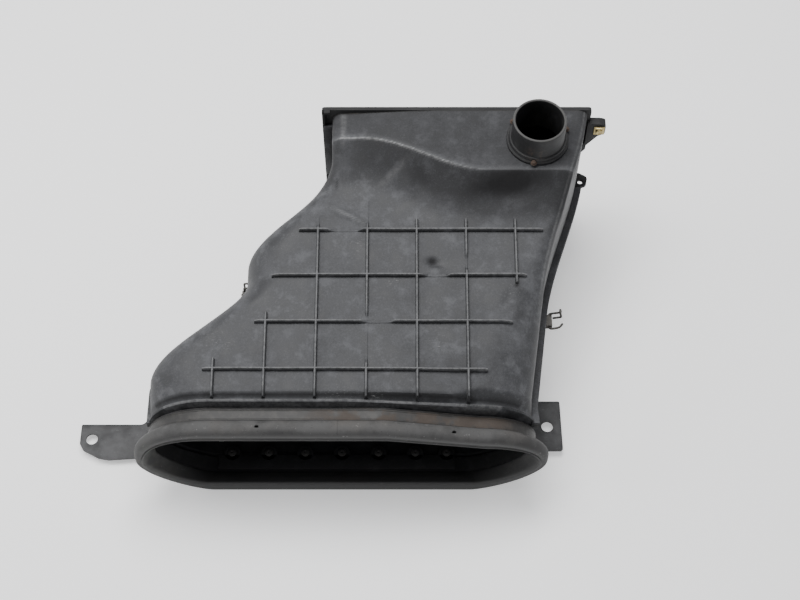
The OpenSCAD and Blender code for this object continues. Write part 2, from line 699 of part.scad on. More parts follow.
module drain_valve() {
    color("#1f1f1f") translate([drain_x, drain_y, 0]) {
        translate([0, 0, floor_z + wall]) cylinder(d = 20, h = 2, $fn = 48);
        translate([0, 0, 3]) cylinder(d = drain_hole_d, h = floor_z + wall - 3, $fn = 48);
    }
}

upper_shell();
lower_shell();
seam_gasket();
inlet_bellows();
clamp_band();
clamp_screw();
lip_retainer();
retainer_screws();
outlet_pipe();
pipe_seal();
pipe_screws();
filter_tray();
tray_screws();
rear_cover();
cover_seal();
filter_frame();
filter_pleats();
filter_mesh();
filter_seal();
left_bracket();
right_bracket();
bracket_bolts();
bracket_nuts();
clip_saddles();
right_clip();
left_clip();
cover_clip();
clip_nut();
drain_valve();
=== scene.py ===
"""Air filter housing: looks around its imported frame.

Shapes are worked out in millimetres and turned into metres when a piece is finished.
Every piece is closed, sits at the origin and rides on the body it belongs to.
"""
import json
import math

import bmesh
import bpy
from mathutils import Matrix, Vector, noise


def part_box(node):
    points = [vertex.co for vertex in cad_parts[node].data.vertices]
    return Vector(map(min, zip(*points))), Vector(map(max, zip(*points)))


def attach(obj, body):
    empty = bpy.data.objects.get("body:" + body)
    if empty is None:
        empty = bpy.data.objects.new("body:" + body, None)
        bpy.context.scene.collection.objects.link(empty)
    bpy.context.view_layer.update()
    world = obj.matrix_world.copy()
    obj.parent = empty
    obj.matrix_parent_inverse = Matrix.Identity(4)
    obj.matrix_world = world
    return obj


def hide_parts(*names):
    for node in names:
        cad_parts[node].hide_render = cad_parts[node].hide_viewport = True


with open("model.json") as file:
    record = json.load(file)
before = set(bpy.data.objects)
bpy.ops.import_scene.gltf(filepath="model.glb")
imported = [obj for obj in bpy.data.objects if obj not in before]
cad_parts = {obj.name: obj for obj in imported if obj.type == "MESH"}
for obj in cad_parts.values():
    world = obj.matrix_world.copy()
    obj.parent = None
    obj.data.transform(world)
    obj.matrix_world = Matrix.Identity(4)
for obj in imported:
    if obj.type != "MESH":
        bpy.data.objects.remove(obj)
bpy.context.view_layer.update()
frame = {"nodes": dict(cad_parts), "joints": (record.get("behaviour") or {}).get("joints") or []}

MM = 0.001


def span(node):
    """Lowest and highest corner of a CAD node in millimetres."""
    low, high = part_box(node)
    return low / MM, high / MM


# ---- Places taken from the frame ----

shell_low, shell_high = span("upper_shell")
mouth_low, mouth_high = span("inlet_bellows")
band_low, band_high = span("clamp_band")
gasket_low, gasket_high = span("seam_gasket")
pipe_low, pipe_high = span("outlet_pipe")
cover_low, cover_high = span("rear_cover")
retainer_low, retainer_high = span("lip_retainer")
filter_low, filter_high = span("filter_frame")

COLLAR_T = 4.0
BAND_T = 1.2
WALL = 3.0
LIP_FRONT = mouth_low.y
NECK_Y = shell_low.y
BEAD_Y = mouth_high.y
REAR_Y = shell_high.y
BODY_L = REAR_Y - BEAD_Y
ROOF_Y = BEAD_Y + 11.5
NECK_LEFT = -band_low.x - COLLAR_T - BAND_T
NECK_RIGHT = band_high.x - COLLAR_T - BAND_T
NECK_LOW = band_low.z + COLLAR_T + BAND_T
NECK_TOP = band_high.z - COLLAR_T - BAND_T
SEAM_LOW = gasket_low.z
SEAM_HIGH = gasket_high.z
FLOOR_Z = span("left_bracket")[1].z
PLATEAU_Z = span("pipe_seal")[0].z
FLANGE_T = 4.0
FLANGE_RIGHT = 8.0
FLANGE_LEFT = 4.0
LUG = (283.9, 161.5)
LUG_R = 9.0
PIPE_AXIS = ((pipe_low.x + pipe_high.x) / 2, (pipe_low.y + pipe_high.y) / 2)
WAIST_LEFT = NECK_LEFT - 102
LEDGE_Z = 156.0
ROOF_Z = 161.6
ROOF_RISE = 0.1286


# ---- Outline of the housing ----

def mix(a, b, t):
    return a + (b - a) * t


def ease(t):
    t = min(1.0, max(0.0, t))
    return t * t * (3 - 2 * t)


def step(y, start, end):
    """Soft step from 0 to 1 between two shares of the body's length."""
    return ease(((y - BEAD_Y) / BODY_L - start) / (end - start))


def past_bead(y, length):
    return ease((y - BEAD_Y) / length)


SLOPE_L = 55.0
# Dents and bulges of the roof: height, centre, half lengths, turn
ROOF_DENTS = (
    (-5.0, 190, 76, 58, 17, 0.1),
    (-4.0, 90, 92, 26, 12, -1.0),
    (2.5, 70, 92, 24, 18, -0.9),
    (-2.6, 103, -3, 15, 8, -0.25),
    (1.5, 108, -13, 14, 7, -0.2),
    (-1.4, 186, -46, 9, 24, -0.35),
    (3.0, 8, 54, 34, 6, -0.5),
)


def hump(x, y, cx, cy, rx, ry, turn=0.0):
    """1 at a centre, fading to 0 over an ellipse that may be turned."""
    c, s = math.cos(turn), math.sin(turn)
    u = ((x - cx) * c + (y - cy) * s) / rx
    v = ((y - cy) * c - (x - cx) * s) / ry
    return ease(1 - math.hypot(u, v))


def left_x(y):
    return -NECK_LEFT + (NECK_LEFT - WAIST_LEFT) * step(y, 0.11, 0.46) + 95 * step(y, 0.51, 0.865)


def right_x(y):
    return (NECK_RIGHT + 46 * max(0, y - BEAD_Y) / BODY_L + 27 * step(y, 0.4, 1)
            - 4 * past_bead(y, 22))


def mouth_top(x):
    return NECK_TOP - 0.2 * max(0, x - 50)


def ledge_z(x):
    return LEDGE_Z - 0.1 * max(0, x - 10)


def ribbed_z(y):
    return ROOF_Z + ROOF_RISE * (y - ROOF_Y)


def crease_y(x):
    return REAR_Y - 35 - 47 * ease((x - 20) / 145)


def front_z(x, y):
    """Roof ahead of the hollow: mouth top, ledge behind the bead, dark step, ribbed slope."""
    ledge = mix(mouth_top(x), ledge_z(x), past_bead(y, 2))
    ribbed = ribbed_z(y) - 7 * ease((x - 40) / 130) * (1 - past_bead(y, 70))
    return mix(ledge, ribbed, ease((y - BEAD_Y - 5) / (6.5 + 0.25 * max(0, x - 125))))


def roof_z(x, y):
    """Height of the roof: ribbed slope, hollow rise, crease and flat top, with its dents."""
    plateau = PLATEAU_Z - 6 * (1 - ease((x + 11) / 125))
    t = min(1, max(0, (y - crease_y(x)) / SLOPE_L + 1))
    power = 1.8 + 0.9 * ease((x - 90) / 90)
    z = mix(front_z(x, y), plateau, t ** power)
    for height, cx, cy, rx, ry, turn in ROOF_DENTS:
        z += height * hump(x, y, cx, cy, rx, ry, turn)
    fade = past_bead(y - 12, 30)
    broad = noise.noise(Vector((x, y, 0)) / 55)
    close_up = noise.noise(Vector((x, y, 9)) / 20)
    return z + fade * (0.5 * broad + 0.3 * close_up)


def top_left_r(y):
    r = mix(46, 12, step(y, 0.66, 0.93))
    t = past_bead(y, 40)
    return mix(70, r, t), mix(62, r, t)


def top_right_r(y):
    return 12 + 50 * (1 - step(y, 0.04, 0.69)), 8 + 34 * (1 - step(y, 0.11, 0.7))


def low_left_r(y):
    t = past_bead(y, 90)
    return mix(66, 14, t), mix(62, 14, t)


def low_right_r(y):
    t = past_bead(y, 90)
    return mix(70, 14, t), mix(62, 14, t)


def under_z(y):
    return mix(NECK_LOW, FLOOR_Z, past_bead(y, 8))


WALL_SHARE = 0.07
CORNER_SHARE = 0.17


def side(s, y, d, right, up):
    """Point of a side wall and its corners, moved d inwards. s runs from 0 at the seam to 1 where
    the roof or the floor begins; up is 1 above the seam and -1 below it."""
    x = right_x(y) if right else left_x(y)
    inwards = -1 if right else 1
    w, h = top_right_r(y) if right else top_left_r(y)
    centre = roof_z(x + inwards * w, y) - h
    w, h = w - d, h - d
    seam = SEAM_HIGH if up > 0 else SEAM_LOW

    def drawn_in(z):
        rise = min(1, max(0, (z - centre) / h))
        return w * (1 - math.sqrt(1 - rise * rise))

    wall = WALL_SHARE / (WALL_SHARE + CORNER_SHARE)
    if up > 0:
        wall *= ease((centre - seam) / 12)
        if s < wall:
            return x + inwards * d, mix(seam, centre, s / wall)
        start = math.asin(min(1, max(0, (seam - centre) / h)))
        a = mix(start, math.pi / 2, (s - wall) / (1 - wall))
        return x + inwards * (d + w * (1 - math.cos(a))), centre + h * math.sin(a)
    lw, lh = low_right_r(y) if right else low_left_r(y)
    turn = under_z(y) + lh
    if s <= wall:
        z = mix(seam, turn, s / wall)
        return x + inwards * (d + drawn_in(z)), z
    a = math.pi / 2 * (s - wall) / (1 - wall)
    slant = mix(1.4, 1, past_bead(y, 90))
    return (x + inwards * (d + (lw - d) * (1 - max(0, math.cos(a)) ** slant)),
            turn - (lh - d) * math.sin(a) ** slant)


def arch(s, y, d, up):
    """Point of a cross-section from the left wall (s = 0) over the roof or floor to the right
    wall (s = 1), moved d inwards."""
    ends = WALL_SHARE + CORNER_SHARE
    if s <= ends:
        return side(s / ends, y, d, False, up)
    if s >= 1 - ends:
        return side((1 - s) / ends, y, d, True, up)
    left, right = (top_left_r(y), top_right_r(y)) if up > 0 else (low_left_r(y), low_right_r(y))
    x = mix(left_x(y) + left[0], right_x(y) - right[0], (s - ends) / (1 - 2 * ends))
    return (x, roof_z(x, y) - d) if up > 0 else (x, under_z(y) + d)


def upper_point(s, y, d=0.0):
    x, z = arch(s, y, d, 1)
    return Vector((x, y, z))


def lower_point(s, y, d=0.0):
    x, z = arch(s, y, d, -1)
    return Vector((x, y, z))


def surface_z(x, y):
    """Height of the outer skin above a point of the plan."""
    (lw, lh), (rw, rh) = top_left_r(y), top_right_r(y)
    xl, xr = left_x(y) + lw, right_x(y) - rw
    if x < xl:
        u = min(1, (xl - x) / lw)
        return roof_z(xl, y) - lh * (1 - math.sqrt(1 - u * u))
    if x > xr:
        u = min(1, (x - xr) / rw)
        return roof_z(xr, y) - rh * (1 - math.sqrt(1 - u * u))
    return roof_z(x, y)


def mouth_point(t, out, ends=0.0):
    """Point (x, z) round the neck (t from 0 to 1), moved outwards, with its ends drawn out."""
    y = NECK_Y
    if t < 0.5:
        p = upper_point(t * 2, y, -out)
    else:
        p = lower_point(2 - t * 2, y, -out)
    return p.x * (1 + ends / NECK_RIGHT), p.z


# ---- Mesh tools ----

def sheet(columns, rows, place):
    """Grid of faces whose corners go where place(u, v) says, with u and v from 0 to 1."""
    bm = bmesh.new()
    bmesh.ops.create_grid(bm, x_segments=columns, y_segments=rows, size=0.5)
    for v in bm.verts:
        v.co = place(v.co.x + 0.5, v.co.y + 0.5)
    bm.normal_update()
    return bm


def close(bm, gap=0.01):
    """Merges seams, fills open ends and turns the faces outwards."""
    bmesh.ops.remove_doubles(bm, verts=bm.verts, dist=gap)
    rim = [e for e in bm.edges if e.is_boundary]
    if rim:
        bmesh.ops.holes_fill(bm, edges=rim, sides=0)
    bmesh.ops.recalc_face_normals(bm, faces=bm.faces)
    return bm


def thicken(bm, wall):
    """Gives an outward-facing skin a wall on its inside."""
    bmesh.ops.solidify(bm, geom=bm.faces[:], thickness=wall)
    return bm


def round_edges(bm, width, segments=2, angle=50):
    sharp = [e for e in bm.edges if e.is_manifold and e.calc_face_angle(0) > math.radians(angle)]
    bmesh.ops.bevel(bm, geom=sharp, offset=width, offset_type="OFFSET", segments=segments,
                    profile=0.5, affect="EDGES", material=-1, clamp_overlap=True)
    return bm


def box(low, high, rounding=0.8, segments=2):
    bm = bmesh.new()
    bmesh.ops.create_cube(bm, size=1)
    low, high = Vector(low), Vector(high)
    bmesh.ops.scale(bm, vec=high - low, verts=bm.verts)
    bmesh.ops.translate(bm, vec=(low + high) / 2, verts=bm.verts)
    return round_edges(bm, rounding, segments) if rounding else bm


def lathe(profile, axis, steps=96, closed=False):
    """Spins (radius, height) points round an upright axis through axis."""
    bm = bmesh.new()
    points = [bm.verts.new((axis[0] + r, axis[1], z)) for r, z in profile]
    pairs = list(zip(points, points[1:]))
    if closed:
        pairs.append((points[-1], points[0]))
    edges = [bm.edges.new(pair) for pair in pairs]
    bmesh.ops.spin(bm, geom=points + edges, cent=(axis[0], axis[1], 0), axis=(0, 0, 1),
                   angle=2 * math.pi, steps=steps, use_merge=True)
    return close(bm, 0.001)


def around(profile, axis, steps=128):
    """Spins a closed profile that stays clear of its axis."""
    return lathe(profile, axis, steps, closed=True)


def softened(outline, radius, steps=5):
    """A flat outline with each corner rounded; radius is one number or one for each corner."""
    n = len(outline)
    radii = radius if isinstance(radius, (list, tuple)) else [radius] * n
    path = []
    for i, r in enumerate(radii):
        corner = Vector(outline[i])
        back = Vector(outline[i - 1]) - corner
        ahead = Vector(outline[(i + 1) % n]) - corner
        half = back.angle(ahead) / 2
        reach = min(r / math.tan(half), 0.49 * back.length, 0.49 * ahead.length)
        if r <= 0 or reach < 0.05:
            path.append(corner)
            continue
        start, end = corner + back.normalized() * reach, corner + ahead.normalized() * reach
        for k in range(steps + 1):
            t = k / steps
            path.append(start * (1 - t) ** 2 + corner * 2 * t * (1 - t) + end * t * t)
    return path


def circle(x, y, r, steps=32):
    return [Vector((x + r * math.cos(2 * math.pi * k / steps),
                    y + r * math.sin(2 * math.pi * k / steps))) for k in range(steps)]


def slab(outline, low, high, holes=(), rounding=0.6, segments=2):
    """Flat plate between two heights with holes through it and softened edges."""
    bm = bmesh.new()
    for loop in [outline, *holes]:
        ring = [bm.verts.new((p[0], p[1], low)) for p in loop]
        for a, b in zip(ring, ring[1:] + ring[:1]):
            bm.edges.new((a, b))
    bmesh.ops.triangle_fill(bm, use_beauty=True, edges=bm.edges[:], normal=(0, 0, 1))
    top = bmesh.ops.extrude_face_region(bm, geom=bm.faces[:])
    bmesh.ops.translate(bm, vec=(0, 0, high - low),
                        verts=[v for v in top["geom"] if isinstance(v, bmesh.types.BMVert)])
    bmesh.ops.recalc_face_normals(bm, faces=bm.faces)
    return round_edges(bm, rounding, segments) if rounding else bm


def upright(bm, y):
    """Stands a slab up: its plan becomes X and Z, and its thickness runs from y to the rear."""
    bmesh.ops.rotate(bm, cent=(0, 0, 0), matrix=Matrix.Rotation(math.pi / 2, 3, "X"), verts=bm.verts)
    bmesh.ops.scale(bm, vec=(1, -1, 1), verts=bm.verts)
    bmesh.ops.translate(bm, vec=(0, y, 0), verts=bm.verts)
    bmesh.ops.recalc_face_normals(bm, faces=bm.faces)
    return bm


def curved(points, bend, steps=6):
    """Route along points whose corners are bent to a radius."""
    points = [Vector(p) for p in points]
    route = [points[0]]
    for before, corner, after in zip(points, points[1:], points[2:]):
        back, ahead = before - corner, after - corner
        reach = min(bend, 0.49 * back.length, 0.49 * ahead.length)
        start, end = corner + back.normalized() * reach, corner + ahead.normalized() * reach
        for k in range(steps + 1):
            t = k / steps
            route.append(start * (1 - t) ** 2 + corner * 2 * t * (1 - t) + end * t * t)
    route.append(points[-1])
    return route


def wire(route, radius, sides=12):
    """Round wire along a route, with domed ends."""
    frames = []
    across = None
    for i, point in enumerate(route):
        ahead = (route[min(i + 1, len(route) - 1)] - route[max(i - 1, 0)]).normalized()
        if across is None:
            across = ahead.orthogonal().normalized()
        across = (across - ahead * across.dot(ahead)).normalized()
        frames.append((point, across.copy(), ahead.cross(across)))
    ends = [(frames[0], 0.55), *[(f, 1.0) for f in frames], (frames[-1], 0.55)]
    push = 0.45 * radius
    first = (route[1] - route[0]).normalized() * -push
    last = (route[-1] - route[-2]).normalized() * push
    count = len(ends) - 1

    def place(u, v):
        k = round(u * count)
        (point, side, over), share = ends[k]
        a = 2 * math.pi * v
        shift = first if k == 0 else last if k == count else Vector()
        return point + shift + (side * math.cos(a) + over * math.sin(a)) * radius * share

    return close(sheet(count, sides, place))


def strip(rows, profile, place):
    """Solid bar: a closed profile carried along rows by place(t, p)."""
    n = len(profile)

    def put(u, v):
        return place(v, profile[round(u * n) % n])

    return close(sheet(n, rows, put))


def screw_head(x, y, z, radius, height):
    """Domed pan head with a cross recess, on top of z."""
    recess = 0.34 * height
    profile = [(0.001, z), (radius, z), (radius, z + 0.35 * height), (0.88 * radius, z + 0.75 * height),
               (0.6 * radius, z + height), (0.3 * radius, z + height),
               (0.12 * radius, z + height - recess), (0.001, z + height - recess)]
    return lathe(profile, (x, y), 24)


def hexagon(x, y, low, high, radius):
    turn = [Vector((x + radius * math.cos(math.pi / 3 * k), y + radius * math.sin(math.pi / 3 * k)))
            for k in range(6)]
    return slab(turn, low, high, rounding=0.5)


def unmarked(part):
    """Gives a part the layers that moulded plastic reads, with no marks on it."""
    part.verts.layers.float.new("rub_and_highlight")
    part.verts.layers.float.new("shade_and_dark_marks")


def piece(name, parts, body, material, replaced=(), smooth=35):
    """One finished piece: its parts joined, in metres, smooth but for real edges."""
    whole = bmesh.new()
    for part in parts:
        carrier = bpy.data.meshes.new("carrier")
        part.to_mesh(carrier)
        part.free()
        whole.from_mesh(carrier)
        bpy.data.meshes.remove(carrier)
    bmesh.ops.scale(whole, vec=(MM, MM, MM), verts=whole.verts)
    mesh = bpy.data.meshes.new(name)
    whole.to_mesh(mesh)
    whole.free()
    mesh.shade_smooth()
    mesh.set_sharp_from_angle(angle=math.radians(smooth))
    mesh.materials.append(material)
    made = bpy.data.objects.new(name, mesh)
    bpy.context.scene.collection.objects.link(made)
    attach(made, body)
    if replaced:
        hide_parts(*replaced)
    return made


# ---- Shader tools ----

class Value:
    """A socket that takes Python's arithmetic."""

    def __init__(self, finish, socket):
        self.finish = finish
        self.socket = socket

    def math(self, operation, *others, clamp=False):
        settings = {"operation": operation, "use_clamp": clamp}
        return self.finish.add("ShaderNodeMath", settings, dict(enumerate((self,) + others)))

    def __add__(self, other):
        return self.math("ADD", other)

    def __mul__(self, other):
        return self.math("MULTIPLY", other)

    def __sub__(self, other):
        return self.math("SUBTRACT", other)

    def __rsub__(self, other):
        return (self * -1) + other

    __radd__ = __add__
    __rmul__ = __mul__

    def between(self, low, high):
        """0 below low, 1 above high, soft between them."""
        settings = {"interpolation_type": "SMOOTHSTEP"}
        return self.finish.add("ShaderNodeMapRange", settings, {0: self, 1: low, 2: high})


class Finish:
    """A material under construction."""

    def __init__(self, name):
        self.material = bpy.data.materials.new(name)
        self.material.use_nodes = True
        self.tree = self.material.node_tree
        self.tree.nodes.clear()
        self.place = self.add("ShaderNodeTexCoord", {}, {}, "Object")

    def add(self, kind, settings, inputs, output=0):
        node = self.tree.nodes.new(kind)
        for key, setting in settings.items():
            setattr(node, key, setting)
        for key, given in inputs.items():
            if isinstance(given, Value):
                self.tree.links.new(given.socket, node.inputs[key])
            else:
                node.inputs[key].default_value = given
        return Value(self, node.outputs[output])

    def grain(self, size, detail=2.0, rough=0.5, stretch=None, turn=0.0):
        """Noise from 0 to 1 with features of a size in millimetres."""
        vector = self.place
        if stretch:
            vector = self.add("ShaderNodeMapping", {}, {
                "Vector": vector, "Rotation": (0, 0, turn), "Scale": stretch})
        return self.add("ShaderNodeTexNoise", {}, {
            "Vector": vector, "Scale": 1 / (size * MM), "Detail": detail, "Roughness": rough})

    def near(self, x, y, z, radius):
        """1 at a place, fading to 0 at a radius, all in millimetres."""
        away = self.add("ShaderNodeVectorMath", {"operation": "DISTANCE"}, {
            0: self.place, 1: (x * MM, y * MM, z * MM)}, "Value")
        return 1 - away.between(0, radius * MM)

    def painted(self, name):
        return self.add("ShaderNodeAttribute", {"attribute_name": name}, {}, "Fac")

    def facing_up(self):
        normal = self.add("ShaderNodeNewGeometry", {}, {}, "Normal")
        return self.add("ShaderNodeSeparateXYZ", {}, {0: normal}, "Z")

    def along(self, axis):
        return self.add("ShaderNodeSeparateXYZ", {}, {0: self.place}, axis)

    def blend(self, mask, a, b):
        colours = {6: a if isinstance(a, Value) else (*a, 1), 7: b if isinstance(b, Value) else (*b, 1)}
        return self.add("ShaderNodeMix", {"data_type": "RGBA"}, {0: mask, **colours}, 2)

    def surface(self, colour, roughness, bump=None, height=0.2, metallic=0.0, **constants):
        """Closes the material: constants such as specular and coat sit on the shader itself."""
        inputs = {"Base Color": colour if isinstance(colour, Value) else (*colour, 1),
                  "Roughness": roughness, "Metallic": metallic}
        for name, constant in constants.items():
            inputs[name.replace("_", " ")] = constant
        if bump is not None:
            inputs["Normal"] = self.add("ShaderNodeBump", {}, {
                "Strength": 1.0, "Distance": height * MM, "Height": bump})
        shader = self.add("ShaderNodeBsdfPrincipled", {}, inputs)
        out = self.tree.nodes.new("ShaderNodeOutputMaterial")
        self.tree.links.new(shader.socket, out.inputs["Surface"])
        return self.material


# ---- Finishes ----

def moulded(name, dark, dusty, dust=0.5, shine=0.42, specks=0.5, grime=0.0):
    """Weathered moulded plastic: dust on what faces up, pale rubs and painted highlights, painted shade and
    dark marks, and fine specks.
    """
    f = Finish(name)
    cloud = f.grain(38, 4, 0.55)
    streak = f.grain(14, 3, 0.6, (1, 0.25, 1))
    settled = f.facing_up().between(0.15, 0.95) * (0.35 + 0.65 * cloud.between(0.34, 0.62))
    colour = f.blend(settled * dust, dark, dusty)
    colour = f.blend(streak.between(0.55, 0.72) * 0.22, colour, tuple(0.62 * c for c in dusty))
    mottle = f.grain(2.4, 3, 0.75)
    colour = f.blend(mottle.between(0.52, 0.68) * 0.35, colour, tuple(1.5 * c for c in dusty))
    colour = f.blend((1 - mottle.between(0.34, 0.48)) * 0.4, colour, tuple(0.5 * c for c in dusty))
    smudge = f.grain(19, 5, 0.66)
    colour = f.blend(smudge.between(0.5, 0.7) * 0.6, colour, tuple(1.7 * c for c in dusty))
    colour = f.blend((1 - smudge.between(0.34, 0.5)) * 0.6, colour, tuple(0.42 * c for c in dusty))
    fine = f.grain(0.9, 2, 0.7)
    colour = f.blend(fine.between(0.6, 0.7) * 0.4 * specks, colour, tuple(2.2 * c for c in dusty))
    colour = f.blend((1 - fine.between(0.31, 0.41)) * 0.5 * specks, colour, tuple(0.45 * c for c in dark))
    # Pale rubs together with painted highlights on edges, ribs and faces, taken from the painted layer
    rub_and_highlight = f.painted("rub_and_highlight") * (0.45 + 0.55 * f.grain(4, 3, 0.6).between(0.38, 0.58))
    colour = f.blend(rub_and_highlight, colour, (0.27, 0.27, 0.27))
    # Painted shade in the hollow, on slopes, steps and dents, plus a few dark marks, blended towards near
    # black
    shade_and_dark_marks = f.painted("shade_and_dark_marks")
    colour = f.blend(shade_and_dark_marks * 0.9, colour, (0.006, 0.0055, 0.006))
    rough = shine + 0.16 * settled + 0.14 * cloud - 0.06 * streak + 0.16 * smudge + 0.3 * shade_and_dark_marks
    bump = f.grain(0.7, 2, 0.6) * 0.4 + mottle * 0.5 + f.grain(9, 3, 0.5) * 1.2
    return f, colour, rough, bump


def scratches(f, colour):
    """Whitish scuffs where the roof has been knocked."""
    spots = [(2, -158, 158, 26), (40, -160, 158, 22), (-134, -93, 160, 24), (108, -98, 170, 18),
             (190, -38, 180, 16), (-120, -100, 163, 14), (60, -25, 178, 12), (20, 20, 184, 15)]
    mark = None
    for x, y, z, radius in spots:
        near = f.near(x, y, z, radius)
        mark = near if mark is None else mark.math("MAXIMUM", near)
    hair = f.grain(2.2, 3, 0.75, (0.3, 1.9, 1), 0.5).between(0.63, 0.67)
    flake = f.grain(2.6, 4, 0.8).between(0.62, 0.66)
    return f.blend(mark * hair.math("MAXIMUM", flake) * 0.5, colour, (0.36, 0.36, 0.35))


def shell_finish():
    f, colour, rough, bump = moulded(
        "charcoal_plastic", (0.016, 0.0165, 0.0185), (0.06, 0.061, 0.065), 0.88, 0.46, 0.8)
    colour = scratches(f, colour)
    return f.surface(colour, rough, bump, 0.12)


def tub_finish():
    f, colour, rough, bump = moulded(
        "black_plastic", (0.008, 0.008, 0.0085), (0.02, 0.0195, 0.02), 0.6, 0.56)
    return f.surface(colour, rough, bump, 0.1)


def pipe_finish():
    f, colour, rough, bump = moulded(
        "pipe_plastic", (0.006, 0.006, 0.0065), (0.018, 0.018, 0.0185), 0.6, 0.42)
    # Painted highlight: a pale line round the top rim
    rim = f.along("Z").between((pipe_high.z - 1.2) * MM, (pipe_high.z - 0.5) * MM)
    colour = f.blend(rim * 0.6, colour, (0.09, 0.088, 0.085))
    x, y = PIPE_AXIS
    rust = f.near(x - 5, y - 30, PLATEAU_Z + 14, 17) * f.grain(5, 3, 0.7).between(0.42, 0.6)
    colour = f.blend(rust * 0.5, colour, (0.07, 0.045, 0.032))
    return f.surface(colour, rough, bump, 0.1)


def rubber_finish(name, dark, pale, dusty=0.7):
    """Old rubber: chalky on top, brownish in patches, with fine cracks."""
    f = Finish(name)
    cloud = f.grain(30, 4, 0.6)
    chalk = f.facing_up().between(-0.2, 0.9) * (0.4 + 0.6 * cloud.between(0.35, 0.6))
    colour = f.blend(chalk * dusty, dark, pale)
    brown = f.grain(55, 2, 0.5).between(0.5, 0.7)
    colour = f.blend(brown * chalk * 0.3, colour, (0.085, 0.07, 0.058))
    cracks = 1 - f.grain(1.6, 4, 0.75, (0.6, 1, 1)).between(0.33, 0.42)
    colour = f.blend(cracks * 0.5, colour, tuple(0.5 * c for c in dark))
    scuff = f.grain(5, 4, 0.8).between(0.62, 0.7)
    colour = f.blend(scuff * 0.35, colour, (0.27, 0.26, 0.25))
    bump = f.grain(1.2, 3, 0.6) * 0.6 + f.grain(12, 2, 0.5)
    return f, colour, 0.62 + 0.15 * chalk, bump


def bellows_finish():
    f, colour, rough, bump = rubber_finish("mouth_rubber", (0.014, 0.0135, 0.013), (0.085, 0.084, 0.083))
    # Painted shadow: the lower front of the lip is darkened where the upper lip shades it
    low = 1 - f.along("Z").between(0.02, 0.075)
    front = 1 - f.along("Y").between((LIP_FRONT + 16) * MM, (LIP_FRONT + 22) * MM)
    colour = f.blend(low * front * 0.8, colour, (0.01, 0.0098, 0.0096))
    # Painted light: a paler greenish patch on the inner face of the left end
    ends = f.near(-mouth_high.x + 12, LIP_FRONT + 6, 80, 70) * f.grain(18, 2, 0.5).between(0.35, 0.6)
    colour = f.blend(ends * 0.35, colour, (0.085, 0.088, 0.075))
    line = 1 - f.along("X").math("ABSOLUTE").between(0.0003, 0.0008)
    colour = f.blend(line * 0.4, colour, (0.02, 0.019, 0.018))
    return f.surface(colour, rough, bump, 0.16)


def metal_finish(name, base, tint, rough, tint_size=14, tint_share=0.5, metallic=0.85, pitted=0.08):
    """Plated or bare metal, dulled and stained in patches."""
    f = Finish(name)
    patch = f.grain(tint_size, 4, 0.65).between(0.5, 0.68) * tint_share
    colour = f.blend(patch, base, tint)
    colour = f.blend(f.grain(1.1, 2, 0.7).between(0.6, 0.7) * 0.3, colour, tuple(0.5 * c for c in tint))
    dull = rough + 0.3 * patch + 0.1 * f.grain(3, 2, 0.5)
    return f.surface(colour, dull, f.grain(0.9, 3, 0.6), pitted, metallic - 0.6 * patch)


def band_finish():
    f = Finish("banding_steel")
    across = f.along("X")
    middle = across.between(-0.06, 0.02) * (1 - across.between(0.17, 0.2))
    rust = middle * f.grain(20, 3, 0.6).between(0.4, 0.58)
    colour = f.blend(f.grain(9, 4, 0.7).between(0.45, 0.65) * 0.5,
                     (0.026, 0.0252, 0.0245), (0.056, 0.052, 0.048))
    colour = f.blend(rust * 0.5, colour, (0.085, 0.062, 0.047))
    colour = f.blend(f.grain(1.4, 3, 0.8).between(0.57, 0.66) * 0.5, colour, (0.035, 0.03, 0.027))
    return f.surface(colour, 0.55 + 0.2 * rust, f.grain(1.2, 3, 0.7), 0.1, 0.2)


def bracket_finish():
    f = Finish("coated_bracket")
    cloud = f.grain(16, 4, 0.6)
    colour = f.blend(cloud.between(0.35, 0.65), (0.032, 0.032, 0.033), (0.064, 0.064, 0.066))
    colour = f.blend(f.grain(4, 4, 0.8).between(0.6, 0.68) * 0.6, colour, (0.02, 0.019, 0.018))
    scratched = f.grain(2, 3, 0.8, (0.3, 1.4, 1), 0.7).between(0.64, 0.7)
    colour = f.blend(scratched * 0.5, colour, (0.2, 0.2, 0.2))
    return f.surface(colour, 0.48 + 0.2 * cloud, f.grain(0.8, 3, 0.6), 0.08, 0.25)


def paper_finish():
    f = Finish("filter_paper")
    fibre = f.grain(0.8, 3, 0.7, (1, 0.2, 1))
    colour = f.blend(f.grain(20, 3, 0.6).between(0.35, 0.7), (0.6, 0.5, 0.3), (0.48, 0.4, 0.26))
    colour = f.blend(fibre.between(0.55, 0.7) * 0.4, colour, (0.7, 0.62, 0.44))
    return f.surface(colour, 0.85, fibre, 0.06)


def foam_finish():
    f = Finish("moulded_foam")
    cells = f.grain(0.6, 2, 0.6)
    colour = f.blend(f.grain(14, 3, 0.6).between(0.35, 0.65), (0.03, 0.07, 0.035), (0.05, 0.1, 0.055))
    return f.surface(colour, 0.7 + 0.1 * cells, cells, 0.1)


def seal_finish():
    f, colour, rough, bump = rubber_finish("seal_rubber", (0.012, 0.012, 0.012), (0.035, 0.034, 0.033), 0.5)
    return f.surface(colour, rough, bump, 0.08)


def floor_finish():
    f = Finish("studio_floor")
    tone = f.grain(900, 2, 0.5)
    colour = f.blend(tone, (0.86, 0.86, 0.86), (0.88, 0.88, 0.88))
    return f.surface(colour, 0.9, Emission_Color=(1, 1, 1, 1), Emission_Strength=0.5)


